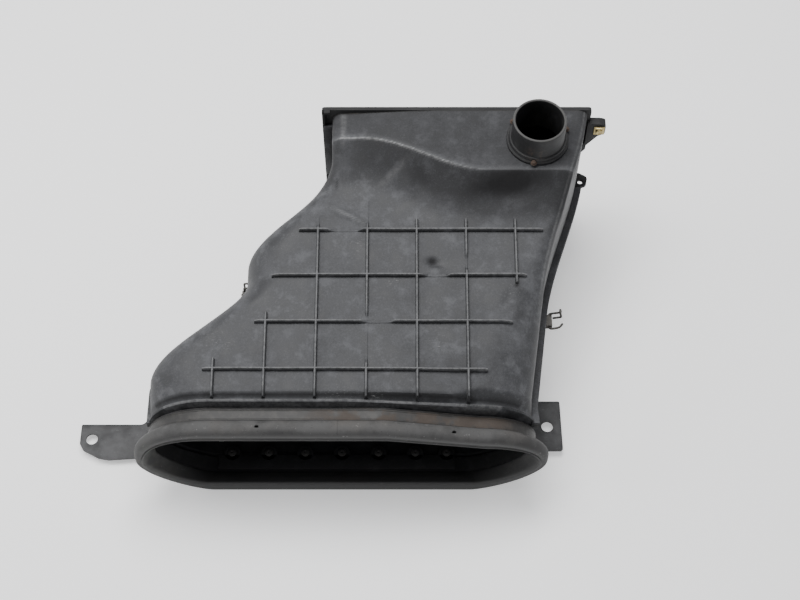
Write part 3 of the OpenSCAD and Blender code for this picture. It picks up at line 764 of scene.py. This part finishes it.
charcoal = shell_finish()
black = tub_finish()
pipe_black = pipe_finish()
rubber = bellows_finish()
sealing = seal_finish()
banding = band_finish()
coated = bracket_finish()
zinc = metal_finish("zinc_plate", (0.42, 0.42, 0.4), (0.17, 0.15, 0.12), 0.38)
rusty = metal_finish("rusted_steel", (0.07, 0.048, 0.036), (0.085, 0.045, 0.026), 0.75, 4, 0.9, 0.2)
spring = metal_finish("spring_wire", (0.09, 0.085, 0.078), (0.03, 0.025, 0.021), 0.5, 5, 0.8, 0.6)
dull = metal_finish("dull_screws", (0.06, 0.058, 0.055), (0.03, 0.026, 0.022), 0.6, 5, 0.7, 0.4)
yellow = metal_finish("yellow_zinc", (0.5, 0.41, 0.2), (0.22, 0.16, 0.08), 0.4, 6, 0.5)
paper = paper_finish()
foam = foam_finish()


# ---- Shells ----

RIB_T = 3.2
RIB_H = 5.2
RIB_PITCH = 55.0
RIB_ROW_Y = ROOF_Y + 22.5
RIB_COLUMN_X = 71.5 - NECK_LEFT
BEAD_H = 2.2
SHELL_COLUMNS = 176
SHELL_ROWS = 200


def bead(y):
    """Height of the moulded shoulder bead behind the collar."""
    return BEAD_H * ease((y - BEAD_Y) / 1.0) * (1 - ease((y - BEAD_Y - 3) / 2.5))


def line_at(gap, width):
    """1 on a line, fading to 0 at a width."""
    return ease(1 - abs(gap) / width)


def paint_shell(bm):
    """Marks where the shell gets painted highlights or is rubbed pale, and where it gets painted shade or
    dark marks.
    """
    rub_and_highlight = bm.verts.layers.float.new("rub_and_highlight")
    shade_and_dark_marks = bm.verts.layers.float.new("shade_and_dark_marks")
    for v in bm.verts:
        x, y, z = v.co
        over = z - surface_z(x, y)
        roof = y > BEAD_Y + 6
        # Painted highlight along the crease line
        crease = line_at(y - crease_y(x) - 0.8, 2.0) * ease((x + 10) / 12)
        crease *= 0.85 - 0.75 * ease((x - 110) / 60)
        # Painted highlight along the plateau's left edge
        corner = 0.35 * line_at(x - left_x(y) - 13, 5) * ease((y - 128) / 16)
        # Painted highlight along the ledge and painted light on the front-facing riser face
        ledge = 0.45 * line_at(y - BEAD_Y - 3.4, 2.0) * (z > 140)
        riser_painted_light = 0.3 * (y < BEAD_Y + 3) * (z > 138)
        # Painted highlight along the right shoulder edge
        shoulder = 0.3 * line_at(x - right_x(y) + 3.5, 2.2) * ease((z - 150) / 20)
        fold = 0.3 * hump(x, y, 60, 104, 7, 30, -0.9) + 0.35 * hump(x, y, 8, 54, 34, 2.2, -0.5)
        # Painted highlight on the rib tops
        rib_top_highlight = 0.3 * ease((over - 0.5 * RIB_H) / (0.3 * RIB_H))
        v[rub_and_highlight] = max(ledge, riser_painted_light, roof * max(crease * (over > -1.5), corner, shoulder, fold, rib_top_highlight))
        # Painted shade on the slope below the crease and in the hollow
        behind = crease_y(x) - y
        slope = 0.62 * ease((SLOPE_L + 6 - behind) / 40) * (behind > -1) * ease((x + 24) / 60)
        slope = max(slope, 0.4 * (behind > -1) * ease((SLOPE_L - behind) / 20)) * (over > -9) * roof
        hollow = slope + 0.4 * hump(x, y, 182, 84, 66, 15, 0.1) + 0.3 * hump(x, y, 200, 86, 24, 12)
        # Painted shade in two roof dents
        dent_shade = 1.1 * hump(x, y, 102, -1, 9, 8, -0.2) + 0.5 * hump(x, y, 92, 92, 12, 7, -1.1)
        slit = 0.9 * hump(x, y, -5, 94, 1.8, 13)
        end_spot = 0.9 * hump(x, y, 195, -30, 4, 4)
        # Painted shade on the front-facing step behind the ledge
        step_shade = 0.75 * line_at(y - BEAD_Y - 8.5, 3.6) * (z > 130)
        # Painted shade on the flat top behind the crease
        flat_top_shade = 0.42 * ease((y - crease_y(x) - 3) / 6) * (z > 190)
        v[shade_and_dark_marks] = min(1, max(hollow, dent_shade, slit, end_spot, step_shade, flat_top_shade))
    return bm


def roof_rib(x0, y0, x1, y1, fades=()):
    """Rib moulded on the roof: it keeps to the roof's slope, tapers upwards and sinks where it fades."""
    length = math.hypot(x1 - x0, y1 - y0)
    ahead = Vector((x1 - x0, y1 - y0)).normalized()
    side = Vector((-ahead.y, ahead.x))
    half = RIB_T / 2
    profile = [(-half - 0.5, -3), (-half, 0.4), (-half + 0.45, 0.82), (-half + 0.95, 1.0),
               (half - 0.95, 1.0), (half - 0.45, 0.82), (half, 0.4), (half + 0.5, -3)]

    def place(t, p):
        at = Vector((x0, y0)) + ahead * length * t
        across, up = p
        spot = at + side * across
        height = RIB_H * (1 - ease(1 - min(t, 1 - t) * length / 1.5) * 0.25)
        along = at.x if abs(ahead.x) > 0.5 else at.y
        for low, high in fades:
            height *= 1 - 0.92 * ease((along - low) / 7 + 0.5) * ease((high - along) / 7 + 0.5)
        skin = surface_z(spot.x, spot.y)
        top = max(surface_z(at.x, at.y), ribbed_z(at.y) - 2) + height
        return Vector((spot.x, spot.y, skin - 2.5 if up < 0 else mix(skin, top, up)))

    return strip(max(8, round(length / 4)), profile, place)


ROW_ENDS = [(-146, 161), (-92, 189), (-75, 206), (-46, 226)]
ROW_FADES = [(), ((28, 58),), ((94, 120),), ((-12, 22),)]
COLUMN_ENDS = [36, 89, 204, 224, 201, 200, 200]
COLUMN_FADES = [(), (), ((40, 60),), ((-120, -64), (42, 90)), (), ((-12, 6),), ()]


def shell_top():
    skin = sheet(SHELL_COLUMNS, SHELL_ROWS, lambda u, v: upper_point(
        u, mix(NECK_Y, REAR_Y, v), -bead(mix(NECK_Y, REAR_Y, v))))
    bmesh.ops.smooth_vert(skin, verts=[v for v in skin.verts if not v.is_boundary and v.co.y > ROOF_Y],
                          factor=0.5, use_axis_x=True, use_axis_y=True, use_axis_z=True)
    axis = Vector(PIPE_AXIS)
    inside = [f for f in skin.faces if (f.calc_center_median().xy - axis).length < 28.5]
    bmesh.ops.delete(skin, geom=inside, context="FACES")
    thicken(skin, WALL)
    parts = [skin]
    pitch = RIB_PITCH * math.cos(math.atan(ROOF_RISE))
    for (low, high), y, fades in zip(ROW_ENDS, [RIB_ROW_Y + pitch * k for k in range(4)], ROW_FADES):
        parts.append(roof_rib(low, y + RIB_T / 2, high, y + RIB_T / 2, fades))
    for k, (end, fades) in enumerate(zip(COLUMN_ENDS, COLUMN_FADES)):
        x = RIB_COLUMN_X + k * RIB_PITCH + RIB_T / 2
        start = ROOF_Y + (124 if k == 6 else -6)
        parts.append(roof_rib(x, start, x, ROOF_Y + end, fades))
    parts += [flange(hand, SEAM_HIGH, SEAM_HIGH + FLANGE_T) for hand in (-1, 1)]
    parts.append(box((cover_low.x + 6, REAR_Y - FLANGE_T, SEAM_HIGH), (left_x(REAR_Y) + 2, REAR_Y, 197)))
    parts.append(around([(30.4, PLATEAU_Z - 6), (37, PLATEAU_Z - 6), (38.5, PLATEAU_Z - 1.2),
                         (37.8, PLATEAU_Z - 0.5), (36.2, PLATEAU_Z), (30.4, PLATEAU_Z)], PIPE_AXIS))
    for part in parts:
        paint_shell(part)
    return piece("ribbed_shell", parts, "housing", charcoal, ["upper_shell"])


def flange(hand, low, high, inner=-1.0, trim=0.0):
    """Seam flange or cord along one side wall: hand is -1 for the left and 1 for the right."""
    r = 0.7
    wide = (FLANGE_LEFT if hand < 0 else FLANGE_RIGHT) - trim
    profile = [(inner, low), (wide - r, low), (wide, low + r), (wide, high - r), (wide - r, high),
               (inner, high)]

    def place(t, p):
        y = mix(BEAD_Y + 0.5, REAR_Y if hand < 0 else LUG[1] - LUG_R - 3, t)
        wall = left_x(y) if hand < 0 else right_x(y)
        return Vector((wall + hand * p[0], y, p[1]))

    return strip(120, profile, place)


def tub_rib(x0, y0, x1, y1):
    low, high = FLOOR_Z - 5, FLOOR_Z + 1
    half = 1.3
    return box((x0 - half, y0 - half, low), (x1 + half, y1 + half, high), 0.5)


FEET = [(-100, -117.5), (97, -117.5), (20, 149.5), (250, 149.5)]


def shell_tub():
    skin = sheet(150, 150, lambda u, v: lower_point(
        1 - u, mix(NECK_Y, REAR_Y, v), -bead(mix(NECK_Y, REAR_Y, v))))
    thicken(skin, WALL)
    parts = [skin]
    parts += [flange(hand, SEAM_LOW - FLANGE_T, SEAM_LOW) for hand in (-1, 1)]
    parts.append(box((cover_low.x + 6, REAR_Y - FLANGE_T, 14), (left_x(REAR_Y) + 2, REAR_Y, SEAM_LOW)))
    for x, y in FEET:
        foot = [(0.01, 0), (11.5, 0), (13, 1.5), (13, 8), (14.5, FLOOR_Z + 1), (0.01, FLOOR_Z + 1)]
        parts.append(lathe(foot, (x, y), 48))
    for y in (-60, -10, 40, 90, 140):
        parts.append(tub_rib(left_x(y) + 17, y, right_x(y) - 17, y))
    for x in (20, 75, 130, 185):
        parts.append(tub_rib(x, -66, x, 155))
    x, y = LUG
    lug = softened([(x - 14, y - 9), (x - 3, y - 8.5), (x + 7, y - 5), (x + 9.5, y + 7), (x - 1, y + 13),
                    (x - 14, y + 13)], [0, 3, 6, 6, 4, 0])
    parts.append(slab(lug, SEAM_LOW - FLANGE_T, SEAM_LOW, [circle(x, y, 3.25)], 0.8))
    for part in parts:
        unmarked(part)
    return piece("tub", parts, "housing", black, ["lower_shell"])


def seam_cord():
    return piece("seam_cord", [flange(hand, SEAM_LOW, SEAM_HIGH, -1, 1.2) for hand in (-1, 1)],
                 "housing", sealing, ["seam_gasket"])


# ---- Inlet mouth ----

MOUTH_STEPS = 260
DRAIN_HOLES = (-87, 123)
COLLAR = [(0, 35, 0), (2.5, 35, 0), (4.4, 34.6, 0), (4.6, 33.4, 0), (3.9, 32.4, 0), (3.9, 20, 0),
          (4.1, 19.2, 0), (6.6, 18.6, 1), (9.6, 16.9, 3), (11.5, 13.6, 5), (12, 10, 6)]
NOSE_TOP = [(11.6, 6.4, 6), (10.3, 3.4, 6), (7.8, 1.3, 6.5), (4.4, 0.5, 7.5), (0, 1.0, 9),
            (-3.2, 1.5, 12), (-5.0, 0.4, 14), (-6.6, 0.3, 15)]
NOSE_LOW = [(12, 6.4, 6), (12, 3.6, 6), (11.8, 1.7, 6.5), (10.8, 0.5, 7.5), (8.0, 0.15, 9),
            (3, 0.1, 12), (-2.0, 0.3, 14), (-5.0, 0.9, 15)]
THROAT = [(-7.3, 2.2, 14), (-7.2, 5.8, 11), (-6.7, 9.2, 8), (-5.4, 13, 4), (-3.4, 16.6, 0), (-1.5, 17.1, 0),
          (0, 17.4, 0), (0, 26, 0)]


def ring(profile, steps, lower=None):
    """Closed bar round the mouth: profile points are (outwards, back from the lip's front, drawn ends).
    Another profile may take over along the lower half."""
    n = len(profile)

    def place(u, v):
        k = round(v * n) % n
        t = u % 1.0
        shape = profile[k]
        if lower:
            shape = shape.lerp(lower[k], ease((t - 0.5) / 0.08) * ease((1 - t) / 0.08))
        x, z = mouth_point(t, shape[0], shape[2])
        return Vector((x, LIP_FRONT + shape[1], z))

    return close(sheet(steps, n, place))


def drawn(points, per=3):
    """Closed profile with a smooth curve through its points."""
    n = len(points)
    path = []
    for i in range(n):
        a, b, c, d = (Vector(points[(i + k) % n]) for k in (-1, 0, 1, 2))
        for k in range(per):
            t = k / per
            path.append(0.5 * (2 * b + (c - a) * t + (2 * a - 5 * b + 4 * c - d) * t * t
                               + (3 * b - a - 3 * c + d) * t ** 3))
    return path


def pit(bm, spot, outward, radius, depth):
    """Round hole sunk into a skin at its vertex nearest to a spot."""
    near = min(bm.verts, key=lambda v: (v.co - spot).length)
    centre = near.co.copy()
    around = [e for f in near.link_faces for e in f.edges if near not in e.verts]
    bmesh.ops.delete(bm, geom=[near], context="VERTS")
    turn = outward.to_track_quat("Z", "Y").to_matrix().to_4x4()
    hole = bmesh.ops.create_circle(bm, segments=12, radius=radius,
                                   matrix=Matrix.Translation(centre) @ turn)["verts"]
    edges = [e for e in bm.edges if e.verts[0] in hole and e.verts[1] in hole]
    bmesh.ops.bridge_loops(bm, edges=[e for e in around if e.is_valid] + edges)
    sunk = bmesh.ops.extrude_edge_only(bm, edges=edges)["geom"]
    bottom = [v for v in sunk if isinstance(v, bmesh.types.BMVert)]
    bmesh.ops.translate(bm, vec=outward.normalized() * -depth, verts=bottom)
    bmesh.ops.holes_fill(bm, edges=[e for e in sunk if isinstance(e, bmesh.types.BMEdge) and e.is_boundary],
                         sides=0)
    bmesh.ops.recalc_face_normals(bm, faces=bm.faces)


def mouth_bellows():
    lip = ring(drawn(COLLAR + NOSE_TOP + THROAT), MOUTH_STEPS, drawn(COLLAR + NOSE_LOW + THROAT))
    for x in DRAIN_HOLES:
        z = mouth_top(x) + 12
        pit(lip, Vector((x, LIP_FRONT + 8.5, z)), Vector((0, -0.45, 1)), 2.15, 5)
    return piece("mouth_bellows", [lip], "housing", rubber, ["inlet_bellows"], 60)


def mouth_band():
    low, high = COLLAR_T - 0.05, COLLAR_T + BAND_T
    rear, front = 32.4, 19.6
    profile = [(low, front, 0), (high - 0.3, front, 0), (high, front + 0.5, 0), (high, front + 1.4, 0),
               (high - 0.35, front + 2, 0), (high - 0.35, rear - 2, 0), (high, rear - 1.4, 0),
               (high, rear - 0.5, 0), (high - 0.3, rear, 0), (low, rear, 0)]
    return piece("mouth_band", [ring(profile, MOUTH_STEPS)], "housing", banding,
                 ["clamp_band"], 25)


def band_screw():
    low, high = span("clamp_screw")
    middle = (low + high) / 2
    saddle = box((low.x, low.y, low.z), (low.x + 18, high.y, high.z), 1.6, 3)
    shaft = slab(circle(0, 0, 2.8, 6), 0, 6, rounding=0.5)
    bmesh.ops.rotate(shaft, cent=(0, 0, 0), matrix=Matrix.Rotation(math.pi / 2, 3, "Y"), verts=shaft.verts)
    bmesh.ops.translate(shaft, vec=(low.x + 18, middle.y, low.z + 3), verts=shaft.verts)
    return piece("band_screw", [saddle, shaft], "housing", zinc, ["clamp_screw"])


RETAINER_X = (-126, -84, -42, 0, 42, 84, 120)


def retainer():
    """Strip with round ears that holds the rubber mouth from inside, and its screws."""
    low, high = retainer_low.z, retainer_high.z
    y = BEAD_Y + 4
    parts = [box((retainer_low.x, NECK_Y + 2, low), (retainer_high.x, NECK_Y + 20, high), 0.8)]
    parts += [lathe([(0.01, low), (9.5, low), (9.5, high - 0.8), (8.8, high), (0.01, high)], (x, y), 40)
              for x in RETAINER_X]
    piece("mouth_retainer", parts, "housing", black, ["lip_retainer"])
    heads = [screw_head(x, y, high, 4.7, 2.6) for x in RETAINER_X]
    piece("retainer_heads", heads, "housing", dull, ["retainer_screws"])


# ---- Outlet pipe ----

def outlet():
    r, bore, top, base = 30.0, 26.8, pipe_high.z, PLATEAU_Z
    profile = [(bore, base - 9), (r, base - 9), (r, base), (35, base), (35, base + 3.2), (34.2, base + 4),
               (33, base + 4), (32.6, base + 4.5), (32.4, base + 7.2), (31.8, base + 8), (30.4, base + 8.3),
               (r, base + 9), (r, top - 1.6), (r - 0.5, top - 0.5), (r - 1.2, top), (bore + 1.1, top),
               (bore + 0.3, top - 0.5), (bore, top - 1.4)]
    bm = around(profile, PIPE_AXIS)
    unmarked(bm)
    return piece("outlet", [bm], "housing", pipe_black, ["outlet_pipe"], 40)


def pipe_bolts():
    parts = []
    for angle in (-100, 20, 140):
        a = math.radians(angle)
        x, y = PIPE_AXIS[0] + 35.1 * math.cos(a), PIPE_AXIS[1] + 35.1 * math.sin(a)
        parts.append(lathe([(0.01, PLATEAU_Z + 4), (3.4, PLATEAU_Z + 4), (3.4, PLATEAU_Z + 4.8),
                            (0.01, PLATEAU_Z + 4.8)], (x, y), 24))
        parts.append(hexagon(x, y, PLATEAU_Z + 4.6, PLATEAU_Z + 7.4, 2.7))
    return piece("pipe_bolts", parts, "housing", rusty, ["pipe_screws"])


# ---- Brackets ----

LEFT_PLATE = [(-99.5, 43.5), (-99.5, 19), (-95, 11), (-76, 1), (-64, -1), (80, 9), (80, 81), (5, 81),
              (-28, 43.5)]
RIGHT_PLATE = [(42, 73.5), (43, 12.5), (41, 10.5), (-95, 9.5), (-95, 79.5), (13, 79.5), (14, 73.5)]
LEFT_HOLE, RIGHT_HOLE = (-291, -138.5), (238, -122.5)
LEFT_BOLTS, RIGHT_BOLTS = ((-140, -98), (-140, -138)), ((134, -98), (134, -138))
BRACKET_HOLE_R = 6.75
BOLT_HOLE_R = 3.05


def brackets():
    """Flat steel plates under the floor, each with a fixing hole outside and two bolt holes inside."""
    low, high = (corner.z for corner in span("left_bracket"))

    def plate(name, node, outline, origin, corners, hole, bolts):
        outline = softened([(x + origin, y + BEAD_Y) for x, y in outline], corners)
        holes = [circle(*hole, BRACKET_HOLE_R, 48), *[circle(*bolt, BOLT_HOLE_R) for bolt in bolts]]
        piece(name, [slab(outline, low, high, holes, 0.7)], "housing", coated, [node])

    plate("left_plate", "left_bracket", LEFT_PLATE, 3 - NECK_LEFT, [2, 5, 5, 8, 8, 2, 2, 2, 8],
          LEFT_HOLE, LEFT_BOLTS)
    plate("right_plate", "right_bracket", RIGHT_PLATE, NECK_RIGHT, [2, 1.5, 1.5, 2, 2, 2, 1],
          RIGHT_HOLE, RIGHT_BOLTS)


# ---- Rear cover and filter ----

def cover():
    """Plate with a raised border, a pressed-out panel on its back, an ear at the top right and two
    tongues that carry the filter."""
    left, right, low, top = cover_low.x + 6, cover_high.x - 23.5, cover_low.z, cover_high.z
    face = span("cover_seal")[1].y
    tip = cover_high.x
    thick = 4.5
    back = cover_high.y
    outline = softened([(left, low), (right, low), (right, 138), (right + 5, 146), (right + 5, top),
                        (left, top)], [5, 5, 4, 4, 4, 4])
    parts = [upright(slab(outline, 0, thick, rounding=0.8), face)]
    ear_z = 191
    ear_x = tip - 7.5
    ear = softened([(right + 2, 157), (ear_x, ear_z - 12), (tip, ear_z - 8), (tip, ear_z + 9),
                    (ear_x, ear_z + 11), (right + 2, ear_z + 11)], [0, 3, 4, 4, 4, 0])
    parts.append(upright(slab(ear, 0, thick + 5, [circle(ear_x, ear_z, 3.5)], 0.8), face - 5))
    panel_left, panel_right, panel_low, panel_top = left + 28, left + 278, 23, 173
    depth = back - face - thick + 0.5

    def panel_outline(inset, radius):
        x0, x1 = panel_left + inset, panel_right - inset
        z0, z1 = panel_low + inset, panel_top - inset
        return softened([(x0, z0), (x1, z0), (x1, z1), (x0, z1)], radius, 8)

    rim = slab(panel_outline(0, 12), 0, depth, [panel_outline(10, 4)], 1.2)
    parts.append(upright(rim, face + thick - 0.5))
    parts.append(upright(slab(panel_outline(5, 8), 0, depth - 3, rounding=0), face + thick - 0.5))
    for k in range(3):
        x = mix(panel_left, panel_right, (k + 1) / 4)
        parts.append(box((x - 1.6, back - 4, panel_low + 14), (x + 1.6, back - 0.6, panel_top - 14), 0.6))
    for z in (71, 125):
        parts.append(box((panel_left + 14, back - 4, z - 1.6),
                         (panel_right - 14, back - 0.6, z + 1.6), 0.6))
    parts.append(box((left, face - 4, low + 3), (left + 3.2, face + 0.6, top), 0.6))
    parts.append(box((left, face - 4, top - 3.2), (left + 9.5, face + 0.6, top), 0.6))
    tongue_z = filter_low.z - 4 + 14
    for x in (filter_low.x + 20, filter_high.x - 40):
        parts.append(box((x, filter_high.y - 1, tongue_z), (x + 20, face + 1, tongue_z + 14), 1.0))
    pivot = PIVOTS["cover_clip_hinge"]
    parts.append(box((pivot.x - 2.4, face + thick - 0.5, pivot.z - LUG_HALF),
                     (left + 6, face + thick + 6.5, pivot.z + LUG_HALF), 1.0))
    for part in parts:
        unmarked(part)
    return piece("cover_plate", parts, "cartridge", black, ["rear_cover"])


def ear_nut():
    low, high = span("clip_nut")
    mid = (low + high) / 2
    plate = box(low, high, 0.5)
    barrel = lathe([(2.6, 0), (4.2, 0), (4.2, 3.4), (3.6, 4), (2.6, 4)], (0, 0), 24)
    quarter = Matrix.Rotation(math.pi / 2, 3, "X")
    bmesh.ops.rotate(barrel, cent=(0, 0, 0), matrix=quarter, verts=barrel.verts)
    bmesh.ops.translate(barrel, vec=(mid.x - 0.25, low.y + 0.4, mid.z + 1), verts=barrel.verts)
    lip = box((low.x + 1, low.y - 2.2, high.z - 1.2), (high.x - 1, high.y, high.z), 0.5)
    return piece("ear_nut", [plate, barrel, lip], "cartridge", yellow, ["clip_nut"])


def filter_element():
    low, high = filter_low, filter_high
    rim = 11
    outer = softened([(low.x, low.y), (high.x, low.y), (high.x, high.y), (low.x, high.y)], 7, 6)
    inner = softened([(low.x + rim, low.y + rim), (high.x - rim, low.y + rim), (high.x - rim, high.y - rim),
                      (low.x + rim, high.y - rim)], 3, 4)
    piece("filter_rim", [slab(outer, low.z, high.z, [inner], 1.6, 3)], "cartridge", foam,
          ["filter_frame"])
    fold_low, fold_high = span("filter_pleats")
    folds = round((fold_high.x - fold_low.x) / 12)
    count = folds * 12

    def place(u, v):
        turn = 2 * math.pi * folds * u
        fold = 0.5 - 0.5 * math.tanh(2.4 * math.cos(turn)) / math.tanh(2.4)
        z = mix(fold_low.z + 1, fold_high.z - 1, fold)
        lean = 0.25 * math.sin(turn * 0.37 + 3 * v)
        x = mix(fold_low.x + 0.6, fold_high.x - 0.6, u) + lean
        return Vector((x, mix(fold_low.y, fold_high.y, v), z))

    folds_sheet = sheet(count, 14, place)
    thicken(folds_sheet, 0.9)
    piece("filter_folds", [folds_sheet], "cartridge", paper, ["filter_pleats"], 60)


def drain():
    low, high = span("drain_valve")
    x, y = (low.x + high.x) / 2, (low.y + high.y) / 2
    profile = [(0.01, high.z), (9, high.z), (10, high.z - 0.8), (9.4, high.z - 2), (7, high.z - 2.2),
               (7, 8.5),
               (8.2, 7.6), (8.4, 6), (6, low.z + 0.6), (4.5, low.z), (3.2, low.z), (3.0, 7), (0.01, 8)]
    return piece("drain", [lathe(profile, (x, y), 40)], "housing", sealing, ["drain_valve"])


# ---- Wire clips ----

PIVOTS = {j["name"]: Vector(j["pos_m"]) / MM for j in frame["joints"] if j["type"] == "hinge"}
WIRE_R = 1.25
LUG_HALF = 7.3


def clip(name, body, node, joint, lift, reach, turn):
    """Spring clip bent from one wire: a catch loop, the pivot in the lug, and a curved finger hook.
    It is laid out with its pivot along Y and its lever along Z, then turned into place."""
    loop = [(0, 3.6, 4.5), (0, 3.6, lift), (-reach, 3.6, lift), (-reach, 9.8, lift), (0, 9.8, lift),
            (0, 9.8, 0), (0, -9.2, 0), (0, -10, 2), (0.6, -9.8, 6.5), (0.6, -9.2, 11.5), (1.4, -4.6, 15)]
    pivot = PIVOTS[joint]
    route = curved([turn @ Vector(p) + pivot for p in loop], 2.4)
    return piece(name, [wire(route, WIRE_R)], body, spring, [node], 60)


def clips():
    lift = 2 * FLANGE_T + SEAM_HIGH - SEAM_LOW + 3 + WIRE_R + 0.3
    mirror = Matrix.Diagonal((-1, 1, 1))
    clip("right_wire", "right_clip", "right_clip", "right_clip_hinge", lift, 7.6,
         Matrix.Rotation(math.radians(75), 3, "Y"))
    clip("left_wire", "left_clip", "left_clip", "left_clip_hinge", lift, 5.6, mirror)
    clip("cover_wire", "cover_clip", "cover_clip", "cover_clip_hinge",
         PIVOTS["cover_clip_hinge"].y - REAR_Y + FLANGE_T + WIRE_R + 0.3, 11.6,
         Matrix.Rotation(math.pi / 2, 3, "X") @ mirror @ Matrix.Rotation(math.radians(60), 3, "Y"))


# ---- Making ----

shell_top()
shell_tub()
seam_cord()
mouth_bellows()
mouth_band()
band_screw()
retainer()
outlet()
pipe_bolts()
brackets()
cover()
ear_nut()
filter_element()
drain()
clips()

CARRIED = {"pipe_seal": sealing, "filter_tray": charcoal, "tray_screws": zinc, "cover_seal": sealing,
           "filter_mesh": zinc, "filter_seal": sealing, "bracket_bolts": zinc, "bracket_nuts": zinc,
           "clip_saddles": spring}
for node, material in CARRIED.items():
    mesh = frame["nodes"][node].data
    mesh.materials.clear()
    mesh.materials.append(material)


# ---- Studio ----

def studio():
    floor = bmesh.new()
    bmesh.ops.create_grid(floor, x_segments=1, y_segments=1, size=6)
    mesh = bpy.data.meshes.new("floor")
    floor.to_mesh(mesh)
    floor.free()
    mesh.materials.append(floor_finish())
    ground = bpy.data.objects.new("floor", mesh)
    bpy.context.scene.collection.objects.link(ground)

    def lamp(name, place, target, size, power, tint=(1, 1, 1)):
        light = bpy.data.lights.new(name, "AREA")
        light.shape = "RECTANGLE"
        light.size, light.size_y = size
        light.energy = power
        light.color = tint
        holder = bpy.data.objects.new(name, light)
        bpy.context.scene.collection.objects.link(holder)
        holder.location = place
        aim = Vector(target) - Vector(place)
        holder.rotation_euler = aim.to_track_quat("-Z", "Y").to_euler()

    lamp("overhead", (-0.25, 0.45, 2.1), (0, 0, 0.1), (1.9, 0.9), 62)
    lamp("left_fill", (-1.9, 0.1, 1.2), (0, 0, 0.1), (1.2, 1.2), 16)
    lamp("right_fill", (1.9, 0.4, 1.1), (0, 0, 0.1), (0.8, 1.2), 4)
    lamp("front_fill", (0.05, -2.2, 0.5), (0, 0, 0.1), (1.2, 0.6), 3)
    world = bpy.data.worlds.new("studio")
    bpy.context.scene.world = world
    world.use_nodes = True
    sky = world.node_tree.nodes["Background"]
    sky.inputs["Color"].default_value = (0.93, 0.95, 1.0, 1)
    sky.inputs["Strength"].default_value = 0.3


def camera():
    """Stands in front of the mouth and looks down at the roof."""
    reach, elevation = 1643.0, math.radians(60)
    aim = Vector((66.5, -47.5, 175))
    eye = aim + reach * Vector((0, -math.cos(elevation), math.sin(elevation)))
    lens = bpy.data.cameras.new("camera")
    lens.lens = 67.5
    lens.sensor_width = 36
    holder = bpy.data.objects.new("camera", lens)
    bpy.context.scene.collection.objects.link(holder)
    holder.location = eye * MM
    holder.rotation_euler = (aim - eye).to_track_quat("-Z", "Y").to_euler()
    bpy.context.scene.camera = holder


studio()
camera()
